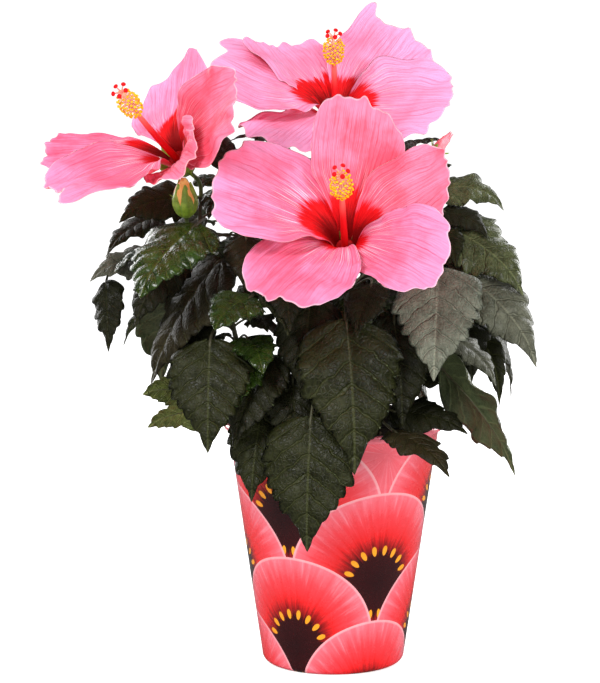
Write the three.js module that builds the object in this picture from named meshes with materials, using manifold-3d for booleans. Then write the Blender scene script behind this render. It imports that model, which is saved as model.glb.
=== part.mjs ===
// A potted hibiscus shrub in bloom, built in millimetres: +Z is up, the origin is the centre of the
// pot's flat underside, and the side where the lowest bloom opens faces -Y.
//
// Everything grows from a few tables of real sizes. A trunk stands in the soil, boughs leave it, and
// each bough ends where a leafy shoot begins. Blooms and buds sit on the shoots. Every piece is a
// closed solid of its own that stays CLEAR away from the piece that carries it.

import * as THREE from "three";
import { mergeVertices } from "three/addons/utils/BufferGeometryUtils.js";
import Module from "manifold-3d";

const wasm = await Module();
wasm.setup();

// ---------------------------------------------------------------- driving dimensions

const CLEAR = 0.3; // gap between two pieces that touch

const POT = {
  topRadius: 65,
  footRadius: 43,
  height: 150,
  wall: 1.6,
  floor: 2.5,
  footRound: 5,
  lip: 2.2,
  lipHeight: 5,
  sides: 36,
};
const SOIL = { top: 139, dome: 3 };
const TRUNK = {
  foot: [-9, 2],
  top: [-20, 4, 212],
  footRadius: 6.2,
  topRadius: 3.4,
  flare: 0.7,
  flareHeight: 9,
  sides: 10,
  steps: 9,
};
const BOUGH = { footRadius: 3.3, tipRadius: 2.1, sides: 5, steps: 5 };
const SHOOT = { tipRadius: 1.2, sides: 4, steps: 4 };
const STALK = { radius: 1.4, leaves: 0.97, sides: 5, steps: 5 }; // the stalk of a bloom or a bud
const PETIOLE = { radius: 0.9, sides: 3, steps: 2, rise: 5, sunk: 0.1 };
const LEAF = {
  halfWidth: 0.33, // of the length
  widest: 0.31, // the widest point's place along the blade
  footPower: 0.52, // how round the foot is
  thickness: 0.016, // of the length, at the rib
  fold: 0.2, // rise of the halves from the rib, of the half width
  arch: 0.34, // fall of the margins, of the half width
  wave: 0.09, // height of the margin's waves, of the half width
  waves: 2.5,
  rows: 6,
  columns: 2,
};
const PETAL = {
  foot: [4.6, 9], // radius and height of the foot in the bloom's own frame
  claw: 0.075, // half width at the foot, of the widest
  widest: 0.72,
  leave: 12, // angle from the bloom's axis at the foot, in degrees
  flare: 70, // and in the blade
  flared: 0.42, // where along the petal the flare is complete
  overlap: 0.18, // each petal lies over one neighbour and under the other
  ruffle: 4,
  ruffles: 3,
  margin: 0.8, // the outer margin's corners, of the length
  peakWidth: 0.25, // of the point that some petals are drawn out to
  thickness: 1.3,
  rows: 7,
  columns: 6,
};
const EYE_HEIGHT = 26; // from a bloom's foot to its eye, where the petals open
const COLUMN = { foot: 12.6, footRadius: 2.3, tipRadius: 1.3, sides: 5, steps: 5 };
const ANTHERS = { low: 0.78, high: 0.93, rings: 2, each: 6, reach: 6.6, rise: 1.5, radius: 2.2, thread: 0.6 };
const STIGMAS = { count: 5, reach: 4.4, rise: 4, radius: 1.8, thread: 0.6 };
const CALYX = { height: 17, sepal: 4.5, sepals: 5, wall: 1, sides: 10 };

// The crown: leaves placed by rule keep inside this reach, and out of the open gap beside the stems.
const CROWN = { centre: [-10, 4, 212], reach: 136, halfHeight: 112, squareness: 3 };
const GAP = { low: [-58, -44, 186], high: [-24, 200, 224] };
// Least distances: of a leaf from the pot, of its blade and of its stalk from what others hold
// there, and of its blade from its own mass.
const ROOM = {
  pot: 1.5,
  blade: { blade: 5, petal: 4.5, stalk: 3.5, limb: 3, shoot: 3 },
  stalk: { blade: 4, petal: 4, stalk: 1.5, limb: 1.5, shoot: 1.5 },
  own: { blade: 3, petal: 4, stalk: -9, limb: 3, shoot: -9 },
};
const GOLDEN_TURN = 137.5;
// The turn and tilt in degrees, and the share of its length, that a leaf tries in this order where
// it would touch something.
const TRIES = [
  [0, 0, 1],
  [9, 0, 1],
  [-9, 0, 1],
  [0, -9, 1],
  [0, 9, 1],
  [18, -6, 1],
  [-18, -6, 1],
  [0, 0, 0.85],
  [24, 8, 0.9],
  [-24, 8, 0.9],
  [12, -14, 0.8],
  [-12, -14, 0.8],
  [36, 0, 0.8],
  [-36, 0, 0.8],
  [0, 0, 0.7],
];

// Each bough: where it leaves the trunk, as a share of the trunk's length, its tip, and its rise.
const BOUGHS = {
  bough_left: { leaves: 0.58, tip: [-62, -12, 226], bow: 8 },
  bough_left_low: { leaves: 0.34, tip: [-46, -32, 186], bow: 4 },
  bough_front_left: { leaves: 0.76, tip: [-34, -30, 224], bow: 2 },
  bough_front: { leaves: 0.93, tip: [4, -24, 210], bow: -8 },
  bough_right: { leaves: 0.74, tip: [42, -6, 232], bow: 8 },
  bough_right_low: { leaves: 0.46, tip: [38, -32, 190], bow: 0 },
  bough_top: { leaves: 0.97, tip: [-6, 34, 256], bow: 8 },
  bough_back_left: { leaves: 0.68, tip: [-48, 46, 222], bow: 8 },
  bough_back_right: { leaves: 0.56, tip: [40, 48, 218], bow: 8 },
  bough_back_low: { leaves: 0.4, tip: [-4, 50, 186], bow: 4 },
};

// Each mass of leaves grows on one shoot, from its bough's tip or from the trunk. Its shown leaves
// have the place of the blade's foot, then heading (0 is +X, 90 is +Y), pitch, droop, length, roll
// and breadth, a multiple of the usual width. The filled ones follow the seeded rule in fillMass.
const MASSES = {
  leaves_left_high: {
    bough: "bough_left",
    tip: [-80, -8, 290],
    shown: [
      [-86, -30, 288, -160, -14, 40, 46, -42, 1],
      [-80, -62, 275, -131, -36, 34, 61, -6, 1.3],
      [-100, -12, 246, -172, -8, 60, 50, -30, 1],
      [-138, -8, 236, -80, -72, 30, 42, 50, 0.9],
      [-92, -30, 252, -142, -48, 40, 50, -20, 1],
      [-62, -8, 302, 120, 50, 30, 34, 0, 1],
    ],
    filled: 5,
    seed: 3,
  },
  leaves_left_low: {
    bough: "bough_left_low",
    tip: [-62, -40, 230],
    shown: [
      [-66, -44, 254, -165, -58, 24, 84, -14, 1.1],
      [-48, -74, 234, -132, -18, 40, 42, -20, 1.15],
      [-73, -67, 209, -92, -68, 36, 66, 0, 1.1],
      [-36, -54, 197, -134, -56, 36, 60, -8, 1],
    ],
    filled: 3,
    seed: 5,
  },
  leaves_front_left: {
    bough: "bough_front_left",
    tip: [-42, -36, 262],
    shown: [
      [-52, -58, 268, -90, -54, 30, 34, 0, 1.15],
      [-33, -56, 253, -84, -54, 30, 45, -8, 1.1],
    ],
    filled: 1,
    seed: 6,
  },
  leaves_front: {
    bough: "bough_front",
    tip: [8, -34, 236],
    shown: [
      [6, -74, 222, -78, -74, 30, 88, 0, 1.05],
      [22, -58, 240, -110, -50, 36, 40, 0, 1],
      [-14, -54, 232, -101, -66, 30, 60, 0, 1],
    ],
    filled: 2,
    seed: 7,
  },
  leaves_right_high: {
    bough: "bough_right",
    tip: [52, 0, 298],
    shown: [
      [61, 0, 288, -6, -10, 80, 46, 28, 1.1],
      [64, -12, 278, -22, -24, 60, 34, 30, 1],
      [65, -16, 270, -20, -36, 40, 64, 34, 1.1],
      [67, -26, 247, -20, -44, 44, 80, 34, 0.9],
    ],
    filled: 4,
    seed: 11,
  },
  leaves_right_low: {
    bough: "bough_right_low",
    tip: [58, -36, 228],
    shown: [
      [61, -60, 250, -98, -62, 34, 68, 6, 1.15],
      [34, -56, 222, -72, -74, 24, 64, 10, 1],
      [61, -54, 192, -32, -48, 24, 78, -50, 1.25],
      [77, -26, 222, -58, -78, 30, 44, 10, 1],
      [80, -16, 213, -24, -66, 50, 54, 60, 0.5],
    ],
    filled: 3,
    seed: 13,
  },
  leaves_top: {
    bough: "bough_top",
    tip: [4, 52, 298],
    shown: [
      [-22, 22, 308, -168, 18, 50, 46, 0, 1],
      [30, 24, 306, 8, 18, 50, 44, 0, 1],
    ],
    filled: 8,
    seed: 17,
  },
  leaves_back_left: { bough: "bough_back_left", tip: [-60, 58, 284], shown: [], filled: 13, seed: 19 },
  leaves_back_right: { bough: "bough_back_right", tip: [54, 58, 282], shown: [], filled: 13, seed: 23 },
  leaves_back_low: { bough: "bough_back_low", tip: [0, 70, 236], shown: [], filled: 11, seed: 29 },
  leaves_foot_left: {
    trunk: 0.18,
    tip: [-50, -18, 174],
    shown: [
      [-74, -26, 168, -172, 6, 30, 42, 64, 1],
      [-66, -36, 162, -164, -8, 30, 48, 50, 1],
      [-42, -52, 168, -106, -64, 34, 58, 0, 1],
    ],
    filled: 4,
    seed: 31,
  },
  leaves_foot_front: {
    trunk: 0.26,
    tip: [-4, -46, 180],
    shown: [
      [-25, -58, 186, -84, -66, 24, 52, 0, 1],
      [-14, -80, 166, -100, -70, 24, 76, 0, 1.1],
    ],
    filled: 0,
    seed: 37,
  },
  leaves_foot_right: {
    trunk: 0.14,
    tip: [24, -24, 170],
    shown: [
      [32, -48, 162, -14, -8, 30, 51, 26, 1],
      [33, -73, 155, -34, -12, 30, 55, 0, 0.9],
    ],
    filled: 5,
    seed: 41,
  },
  leaves_foot_back: { trunk: 0.22, tip: [8, 38, 172], shown: [], filled: 8, seed: 43 },
};

// Each bloom: its eye, where it faces, its column's reach and upward bend, its shoot, and its
// petals. A petal has an azimuth round the bloom, how much further than PETAL.flare it leans out, its
// length, its half width, its curl, its skew across, and the place and height of a drawn-out point.
const BLOOMS = {
  bloom_front: {
    eye: [5, -80, 271],
    heading: -94,
    pitch: 43,
    column: 81,
    bend: 1,
    carrier: "leaves_front",
    petals: [
      [82, -10, 90, 28, 16, 0.05, 0, 0],
      [15, -10, 81, 30, 0, 0.1, 0, 0],
      [-34, -12, 83, 29, 30, -0.05, 0, 0],
      [241, -9, 92, 36, 25, 0.05, 0, 0],
      [167, -9, 92, 43, 15, 0, 0, 0],
    ],
  },
  bloom_top: {
    eye: [1, 20, 340],
    heading: -94,
    pitch: 60,
    column: 73,
    bend: 3,
    carrier: "leaves_top",
    petals: [
      [50, 2, 78, 35, 2, -0.04, 0.95, 0.26],
      [-12, 6, 82, 42, 10, 0, 0, 0],
      [122, 6, 77, 28, 12, 0.05, 0.95, 0.14],
      [156, 4, 86, 62, 16, 0.06, -0.45, 0.28],
      [238, 2, 80, 36, 22, 0, 0, 0],
    ],
  },
  bloom_left: {
    eye: [-97, -48, 318],
    heading: -119,
    pitch: 33,
    column: 88,
    bend: 2,
    carrier: "leaves_left_high",
    petals: [
      [104, 34, 62, 33, 0, -0.14, -0.08, 0.36],
      [13, -20, 88, 30, 12, -0.05, 0, 0],
      [-32, -30, 60, 27, 10, 0, 0, 0],
      [246, -24, 94, 32, 9, 0, 0.5, 0.16],
      [184, 18, 90, 13, 5, 0.08, 0, 0],
    ],
  },
};

// Each bud: its foot, where it points, its length and radius, and the shoot it leaves and where.
const BUDS = {
  bud_left: {
    foot: [-87, -56, 280],
    heading: -95,
    pitch: 64,
    length: 25,
    radius: 7.5,
    carrier: "leaves_left_high",
    leaves: 0.42,
  },
  bud_right: {
    foot: [56, -6, 308],
    heading: -10,
    pitch: 50,
    length: 22,
    radius: 4,
    carrier: "leaves_right_high",
    leaves: 0.97,
  },
};

// ---------------------------------------------------------------- small helpers

const radians = THREE.MathUtils.degToRad;
const vector = (p) => new THREE.Vector3(...p);
const mix = THREE.MathUtils.lerp;
const smooth = (low, high, x) => THREE.MathUtils.smoothstep(x, low, high);

// A repeatable number from 0 to 1 for a seed and a count.
function chance(seed, n) {
  const x = Math.sin(seed * 12.9898 + n * 78.233) * 43758.5453;
  return x - Math.floor(x);
}

// The direction with a heading (0 is +X, 90 is +Y) and a pitch above the level, in degrees.
function direction(heading, pitch) {
  const level = Math.cos(radians(pitch));
  return new THREE.Vector3(
    level * Math.cos(radians(heading)),
    level * Math.sin(radians(heading)),
    Math.sin(radians(pitch)),
  );
}

// A closed mesh as a solid. Corners that coincide become one, and faces that collapsed are dropped.
function solidOf(geometry) {
  const bare = geometry.index ? geometry.toNonIndexed() : geometry.clone();
  bare.deleteAttribute("normal");
  bare.deleteAttribute("uv");
  const merged = mergeVertices(bare, 1e-4);
  const corners = merged.index.array;
  const kept = [];
  for (let i = 0; i < corners.length; i += 3) {
    const [a, b, c] = [corners[i], corners[i + 1], corners[i + 2]];
    if (a !== b && b !== c && a !== c) kept.push(a, b, c);
  }
  const mesh = new wasm.Mesh({
    numProp: 3,
    vertProperties: new Float32Array(merged.attributes.position.array),
    triVerts: new Uint32Array(kept),
  });
  return new wasm.Manifold(mesh);
}

// A solid as a three.js geometry.
function geometryOf(solid) {
  const mesh = solid.getMesh();
  const width = mesh.numProp;
  const positions = new Float32Array(mesh.numVert * 3);
  for (let i = 0; i < mesh.numVert; i++) {
    positions.set(mesh.vertProperties.subarray(i * width, i * width + 3), i * 3);
  }
  const geometry = new THREE.BufferGeometry();
  geometry.setAttribute("position", new THREE.BufferAttribute(positions, 3));
  geometry.setIndex(new THREE.BufferAttribute(new Uint32Array(mesh.triVerts), 1));
  geometry.computeVertexNormals();
  return geometry;
}

const joined = (solids) => wasm.Manifold.union(solids);

// The largest of a solid's separate bodies.
function largest(solid) {
  return solid.decompose().sort((a, b) => b.volume() - a.volume())[0];
}

// A geometry from a list of points and a list of corner numbers.
function meshOf(points, faces) {
  const geometry = new THREE.BufferGeometry();
  geometry.setAttribute("position", new THREE.Float32BufferAttribute(points.flatMap((p) => p.toArray()), 3));
  geometry.setIndex(faces);
  return geometry;
}

// Two triangles for each cell of a grid of corners.
function woven(rows, columns, corner) {
  const faces = [];
  for (let i = 0; i < rows; i++) {
    for (let j = 0; j < columns; j++) {
      const [a, b, c, d] = [corner(i, j), corner(i + 1, j), corner(i + 1, j + 1), corner(i, j + 1)];
      faces.push(a, b, c, a, c, d);
    }
  }
  return faces;
}

// A thin closed blade over surface(along 0 to 1, across -1 to 1). It is thickest at its middle, and
// its two sides share their corners all round the edge.
function blade(surface, rows, columns, thickness) {
  const step = 1e-3;
  const points = [];
  for (const side of [1, -1]) {
    for (let i = 0; i <= rows; i++) {
      for (let j = 0; j <= columns; j++) {
        const [along, across] = [i / rows, (2 * j) / columns - 1];
        const point = surface(along, across);
        if (i > 0 && i < rows && j > 0 && j < columns) {
          const run = surface(along + step, across).sub(surface(along - step, across));
          const span = surface(along, across + step).sub(surface(along, across - step));
          const half = (thickness / 2) * (1 - 0.5 * Math.abs(across));
          point.addScaledVector(run.cross(span).normalize(), side * half);
        }
        points.push(point);
      }
    }
  }
  const layer = (rows + 1) * (columns + 1);
  const upper = woven(rows, columns, (i, j) => i * (columns + 1) + j);
  const lower = upper.map((corner) => layer + corner).reverse();
  return solidOf(meshOf(points, [...upper, ...lower]));
}

// A closed tapering limb along a curve: a ring of corners at each step, and a fan over each end.
function limb(curve, radiusAt, sides, steps) {
  const chord = curve.getPoint(1).sub(curve.getPoint(0)).toArray().map(Math.abs);
  const least = chord.indexOf(Math.min(...chord));
  const reference = new THREE.Vector3().setComponent(least, 1);
  const points = [];
  for (let i = 0; i <= steps; i++) {
    const centre = curve.getPoint(i / steps);
    const side = curve.getTangent(i / steps).cross(reference).normalize();
    const other = curve.getTangent(i / steps).cross(side).normalize();
    for (let k = 0; k < sides; k++) {
      const turn = (2 * Math.PI * k) / sides;
      const radius = radiusAt(i / steps);
      points.push(
        centre
          .clone()
          .addScaledVector(side, radius * Math.cos(turn))
          .addScaledVector(other, radius * Math.sin(turn)),
      );
    }
  }
  const faces = woven(steps, sides, (i, j) => i * sides + (j % sides)).reverse();
  const last = steps * sides;
  for (let k = 1; k < sides - 1; k++) {
    faces.push(0, k + 1, k, last, last + k, last + k + 1);
  }
  return solidOf(meshOf(points, faces));
}

const taper = (from, to) => (share) => mix(from, to, share);

// A solid turned about +Z, from [radius, height] pairs that start and end on the axis.
function turned(pairs, sides) {
  const profile = pairs.map(([radius, height]) => new THREE.Vector2(radius, height));
  return new THREE.LatheGeometry(profile, sides).rotateX(Math.PI / 2);
}

// ---------------------------------------------------------------- pot and soil

function potRadius(height) {
  return mix(POT.footRadius, POT.topRadius, height / POT.height);
}

const potInside = (height) => mix(potRadius(POT.floor) - 4, potRadius(POT.height) - POT.wall, height / POT.height);

function makePot() {
  const { floor, footRound: round, lip, lipHeight, height, sides } = POT;
  const foot = [1, 2, 3].map((k) => {
    const turn = (Math.PI / 6) * k;
    return [potRadius(round) - round * (1 - Math.sin(turn)), round * (1 - Math.cos(turn))];
  });
  const profile = [
    [0, 0],
    [potRadius(round) - round, 0],
    ...foot,
    [potRadius(height - lipHeight), height - lipHeight],
    [potRadius(height) + lip, height - lipHeight + 1],
    [potRadius(height) + lip, height],
    [potInside(height), height],
    [potInside(floor), floor],
    [0, floor],
  ];
  return solidOf(turned(profile, sides));
}

function makeSoil() {
  const low = POT.floor + CLEAR;
  const edge = SOIL.top - SOIL.dome;
  const profile = [
    [0, low],
    [potInside(low) - 2 * CLEAR, low],
    [potInside(edge) - 2 * CLEAR, edge],
    [potInside(edge) * 0.6, SOIL.top],
    [0, SOIL.top],
  ];
  return solidOf(turned(profile, POT.sides));
}

// ---------------------------------------------------------------- trunk, boughs and shoots

const trunkFoot = new THREE.Vector3(...TRUNK.foot, SOIL.top + CLEAR);
const trunkTop = vector(TRUNK.top);
const trunkRise = trunkTop.z - trunkFoot.z;
const trunkCurve = new THREE.QuadraticBezierCurve3(
  trunkFoot,
  new THREE.Vector3(trunkFoot.x, trunkFoot.y, (trunkFoot.z + trunkTop.z) / 2),
  trunkTop,
);

function trunkRadius(share) {
  const flare = TRUNK.flare * Math.exp((-share * trunkRise) / TRUNK.flareHeight);
  return mix(TRUNK.footRadius, TRUNK.topRadius, share) * (1 + flare);
}

// The trunk, made thicker all over by a margin.
function makeTrunk(margin) {
  return limb(trunkCurve, (share) => trunkRadius(share) + margin, TRUNK.sides, TRUNK.steps);
}

// A curve between two points that is lifted at its middle by bow.
function bowed(from, to, bow) {
  const middle = from.clone().lerp(to, 0.5);
  middle.z += bow;
  return new THREE.QuadraticBezierCurve3(from, middle, to);
}

const boughCurves = {};
for (const [name, { leaves, tip, bow }] of Object.entries(BOUGHS)) {
  boughCurves[name] = bowed(trunkCurve.getPoint(leaves), vector(tip), bow);
}

// A shoot carries on from its bough's tip in the bough's direction, or leaves the trunk.
const SHOOT_LEAD = 0.4;
const shootCurves = {};
for (const [name, { bough, trunk, tip }] of Object.entries(MASSES)) {
  if (bough) {
    const carrier = boughCurves[bough];
    const onward = carrier.getTangent(1);
    const start = carrier.getPoint(1).addScaledVector(onward, CLEAR);
    const lead = start.distanceTo(vector(tip)) * SHOOT_LEAD;
    const middle = start.clone().addScaledVector(onward, lead);
    shootCurves[name] = new THREE.QuadraticBezierCurve3(start, middle, vector(tip));
  } else {
    shootCurves[name] = bowed(trunkCurve.getPoint(trunk), vector(tip), 4);
  }
}

const shootRadius = taper(BOUGH.tipRadius, SHOOT.tipRadius);

// ---------------------------------------------------------------- blooms

// A bloom's own frame: its foot, its axis, and the two directions across it, one of them upwards.
function bloomFrame({ eye, heading, pitch }) {
  const axis = direction(heading, pitch);
  const up = new THREE.Vector3(0, 0, 1).addScaledVector(axis, -axis.z).normalize();
  const right = up.clone().cross(axis);
  const foot = vector(eye).addScaledVector(axis, -EYE_HEIGHT);
  return { axis, up, right, foot };
}

// The point at a radius, azimuth and height in a bloom's frame.
function bloomPoint({ axis, up, right, foot }, radius, azimuth, height) {
  return foot
    .clone()
    .addScaledVector(axis, height)
    .addScaledVector(right, radius * Math.cos(azimuth))
    .addScaledVector(up, radius * Math.sin(azimuth));
}

// A petal's line, on past its tip: radius, height and angle from the axis at even steps.
const PETAL_STEPS = 40;
const PETAL_PAST = 1.4;
function petalLine(lean, length, curl) {
  let [radius, height] = PETAL.foot;
  const line = [];
  for (let k = 0; k <= PETAL_STEPS * PETAL_PAST; k++) {
    const along = k / PETAL_STEPS;
    const opened = (PETAL.flare + lean - PETAL.leave) * smooth(0, PETAL.flared, along);
    const angle = radians(PETAL.leave + opened + curl * along * along);
    line.push([radius, height, angle]);
    radius += (Math.sin(angle) * length) / PETAL_STEPS;
    height += (Math.cos(angle) * length) / PETAL_STEPS;
  }
  return line;
}

// The petal's outer margin at each place across: rounded, skewed, and drawn out to its point.
function petalMargin(across, skew, peakAt, peak) {
  const round = Math.sqrt(Math.max(0, 1 - Math.abs(across) ** 3));
  const point = peak * Math.exp(-(((across - peakAt) / PETAL.peakWidth) ** 2));
  return mix(PETAL.margin, 1, round) + skew * across + point;
}

// A petal as a surface. It follows the bloom's funnel round its axis, lies over one neighbour and
// under the other, and ruffles towards its margin.
function petalSurface(frame, [azimuth, lean, length, halfWidth, curl, skew, peakAt, peak], phase) {
  const line = petalLine(lean, length, curl);
  return (along, across) => {
    const share = Math.max(0, along * petalMargin(across, skew, peakAt, peak));
    const place = Math.min(share, PETAL_PAST - 0.05) * PETAL_STEPS;
    const k = Math.floor(place);
    const [radius, height, angle] = [0, 1, 2].map((n) => mix(line[k][n], line[k + 1][n], place - k));
    const half = halfWidth * (PETAL.claw + (1 - PETAL.claw) * smooth(0, PETAL.widest, share));
    const turn = radians(azimuth) + (half * across) / radius;
    const down = (share - 0.5) / 0.5;
    const edge = smooth(0.3, 1, Math.hypot(down, across)) * smooth(0.25, 0.5, share);
    const ruffle = PETAL.ruffle * edge * Math.sin(PETAL.ruffles * Math.atan2(across, down) + phase);
    const lap = PETAL.overlap * half * across * smooth(0.08, 0.3, share);
    const lift = ruffle + lap;
    return bloomPoint(frame, radius - lift * Math.cos(angle), turn, height + lift * Math.sin(angle));
  };
}

function petalSurfaces(bloom) {
  const frame = bloomFrame(bloom);
  return bloom.petals.map((petal, k) => petalSurface(frame, petal, 2.1 * k + 0.7));
}

// Turns a solid made along +Z, with its foot at the origin, into a bloom's frame.
function intoFrame(solid, { axis, up, right, foot }) {
  const matrix = new THREE.Matrix4().makeBasis(right, up, axis).setPosition(foot);
  return solid.transform(matrix.elements);
}

// The petals, fused where they meet in the hollow foot that holds the column.
function makePetals(bloom) {
  const foot = solidOf(turned([[0, 3.4], [4.4, 4.4], [5.9, 9], [6.6, 14], [4.8, 15.5], [3.4, 12.3], [0, 12.3]], 10));
  const blades = petalSurfaces(bloom).map((surface) => blade(surface, PETAL.rows, PETAL.columns, PETAL.thickness));
  return largest(joined([intoFrame(foot, bloomFrame(bloom)), ...blades]));
}

function columnCurve(bloom) {
  const frame = bloomFrame(bloom);
  const at = (height, lift) => bloomPoint(frame, lift, Math.PI / 2, height);
  const [foot, tip] = [COLUMN.foot, bloom.column];
  return new THREE.QuadraticBezierCurve3(at(foot, 0), at((foot + tip) / 2, -bloom.bend), at(tip, bloom.bend));
}

// A club that leaves the column sideways and upwards: a thread that ends in a knob.
function club(curve, share, frame, turn, { reach, rise, thread, radius }) {
  const start = curve.getPoint(share);
  const out = frame.right.clone().multiplyScalar(Math.cos(turn)).addScaledVector(frame.up, Math.sin(turn));
  const end = start.clone().addScaledVector(out, reach).addScaledVector(frame.axis, rise);
  const radii = [thread, radius, thread];
  return limb(new THREE.LineCurve3(start, end), (along) => radii[Math.round(along * 2)], 3, 2);
}

// The column that carries the anthers and, at its tip, the five stigmas.
function makeColumn(bloom) {
  const frame = bloomFrame(bloom);
  const curve = columnCurve(bloom);
  const parts = [limb(curve, taper(COLUMN.footRadius, COLUMN.tipRadius), COLUMN.sides, COLUMN.steps)];
  for (let ring = 0; ring < ANTHERS.rings; ring++) {
    const share = mix(ANTHERS.low, ANTHERS.high, ring / (ANTHERS.rings - 1));
    for (let k = 0; k < ANTHERS.each; k++) {
      const turn = (2 * Math.PI * (k + ring / 2)) / ANTHERS.each;
      parts.push(club(curve, share, frame, turn, ANTHERS));
    }
  }
  for (let k = 0; k < STIGMAS.count; k++) {
    const turn = (2 * Math.PI * k) / STIGMAS.count;
    parts.push(club(curve, 0.98, frame, turn, STIGMAS));
  }
  return largest(joined(parts));
}

// A stalk from a place in its carrier's shoot to a foot that it enters along an axis.
function stalkCurve(carrier, leaves, foot, axis) {
  const start = shootCurves[carrier].getPoint(leaves);
  const lead = start.distanceTo(foot) * 0.4;
  return new THREE.CubicBezierCurve3(
    start,
    start.clone().addScaledVector(shootCurves[carrier].getTangent(leaves), lead),
    foot.clone().addScaledVector(axis, -lead),
    foot,
  );
}

// The cup of sepals under a bloom, in the bloom's own frame. Its rim is drawn up into points.
function makeCup() {
  const { height, sepal, sepals, wall, sides } = CALYX;
  const inner = [[0, 3], [4.8, 3.6], [6.4, 8], [8.2, 13], [10.4, height]];
  const outer = inner.map(([radius, at]) => [radius + (radius > 0 ? wall : 0), at - (at < height ? wall : 0)]);
  const geometry = turned([...outer, ...inner.reverse()], sides);
  const place = geometry.attributes.position;
  for (let i = 0; i < place.count; i++) {
    const [x, y, z] = [place.getX(i), place.getY(i), place.getZ(i)];
    if (z < height - 0.01) continue;
    const point = Math.max(0, Math.cos(sepals * Math.atan2(y, x)));
    const spread = 1 + 0.2 * point;
    place.setXYZ(i, x * spread, y * spread, z + sepal * point);
  }
  return solidOf(geometry);
}

function makeCalyx(bloom) {
  const frame = bloomFrame(bloom);
  const end = frame.foot.clone().addScaledVector(frame.axis, 2.6);
  const curve = stalkCurve(bloom.carrier, STALK.leaves, end, frame.axis);
  const stalk = limb(curve, () => STALK.radius, STALK.sides, STALK.steps);
  return joined([stalk, intoFrame(makeCup(), frame)]);
}

// ---------------------------------------------------------------- buds

function budFrame({ foot, heading, pitch }) {
  return { ...bloomFrame({ eye: foot, heading, pitch }), foot: vector(foot) };
}

// A closed bud: an egg-shaped calyx round rolled petals that stand out of it in a twisted point.
function makeBud(bud) {
  const { length, radius, carrier, leaves } = bud;
  const frame = budFrame(bud);
  const pairs = [[0, -1], [0.45, 0], [0.9, 0.22], [1, 0.4], [0.86, 0.66], [0.55, 0.88], [0, 1]];
  const body = solidOf(turned(pairs.map(([r, h]) => [r * radius, Math.max(h, -0.04) * length]), 8));
  const end = frame.foot.clone().addScaledVector(frame.axis, 1);
  const curve = stalkCurve(carrier, leaves, end, frame.axis);
  const stalk = limb(curve, () => STALK.radius, STALK.sides, STALK.steps);
  return joined([stalk, intoFrame(body, frame)]);
}

// ---------------------------------------------------------------- leaves

// A leaf's frame at a place along its rib: the point, and the directions along, across and above.
function ribFrame(leaf, along) {
  const { foot, heading, pitch, droop, length, roll } = leaf;
  const start = radians(pitch + droop / 2);
  const bend = radians(droop);
  const now = start - bend * along;
  const level = (length * (Math.sin(start) - Math.sin(now))) / bend;
  const rise = (length * (Math.cos(now) - Math.cos(start))) / bend;
  const ahead = direction(heading, 0);
  const left = new THREE.Vector3(-ahead.y, ahead.x, 0);
  const point = foot.clone().addScaledVector(ahead, level);
  point.z += rise;
  const tangent = ahead.clone().multiplyScalar(Math.cos(now));
  tangent.z = Math.sin(now);
  const above = ahead.clone().multiplyScalar(-Math.sin(now));
  above.z = Math.cos(now);
  const [c, s] = [Math.cos(radians(roll)), Math.sin(radians(roll))];
  return {
    point,
    tangent,
    across: left.clone().multiplyScalar(c).addScaledVector(above, s),
    above: above.clone().multiplyScalar(c).addScaledVector(left, -s),
  };
}

// Half the blade's width: round at the foot, widest at LEAF.widest, and drawn out to a point.
function leafHalfWidth({ length, breadth }, along) {
  const tipPower = (LEAF.footPower * (1 - LEAF.widest)) / LEAF.widest;
  const foot = Math.max(0, along / LEAF.widest) ** LEAF.footPower;
  const tip = Math.max(0, (1 - along) / (1 - LEAF.widest)) ** tipPower;
  return length * breadth * LEAF.halfWidth * foot * tip;
}

// A leaf's blade as a surface: its halves rise from the rib and arch down again in waves.
function leafSurface(leaf) {
  return (along, across) => {
    const rib = ribFrame(leaf, along);
    const half = leafHalfWidth(leaf, along);
    const reach = Math.abs(across);
    const wave = LEAF.wave * reach * Math.sin(2 * Math.PI * LEAF.waves * along + leaf.phase * Math.sign(across));
    const lift = half * (LEAF.fold * reach - LEAF.arch * reach * reach + wave);
    return rib.point.addScaledVector(rib.across, half * across).addScaledVector(rib.above, lift);
  };
}

// The place on a shoot, from its middle to its tip, that is nearest to a leaf's foot.
const NODES = 12;
function nodeFor(shoot, foot) {
  let [best, least] = [0, Infinity];
  for (let k = 0; k <= NODES; k++) {
    const at = mix(0.15, 0.92, k / NODES);
    const away = shoot.getPoint(at).distanceTo(foot);
    if (away < least) [best, least] = [at, away];
  }
  return shoot.getPoint(best);
}

// The stalk of a leaf: from its node it rises a little, and runs on under the blade's rib.
function petioleCurve(shoot, leaf) {
  const end = ribFrame(leaf, PETIOLE.sunk).point;
  const start = nodeFor(shoot, leaf.foot);
  const middle = leaf.foot.clone().addScaledVector(ribFrame(leaf, 0).tangent, -0.3 * start.distanceTo(end));
  middle.z += PETIOLE.rise;
  return new THREE.QuadraticBezierCurve3(start, middle, end);
}

// ---------------------------------------------------------------- where leaves may go

// What already stands there, as small balls: { point, radius, owner, kind }.
const taken = [];

function take(points, radius, owner, kind) {
  for (const point of points) taken.push({ point, radius, owner, kind });
}

function along(curve, count) {
  return Array.from({ length: count + 1 }, (_, k) => curve.getPoint(k / count));
}

// A grid of points over a surface.
function spread(surface, rows, columns) {
  const points = [];
  for (let i = 0; i <= rows; i++) {
    for (let j = 0; j <= columns; j++) {
      points.push(surface(0.05 + (0.95 * i) / rows, 0.92 * ((2 * j) / columns - 1)));
    }
  }
  return points;
}

const BLADE_GRID = [13, 8];

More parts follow.
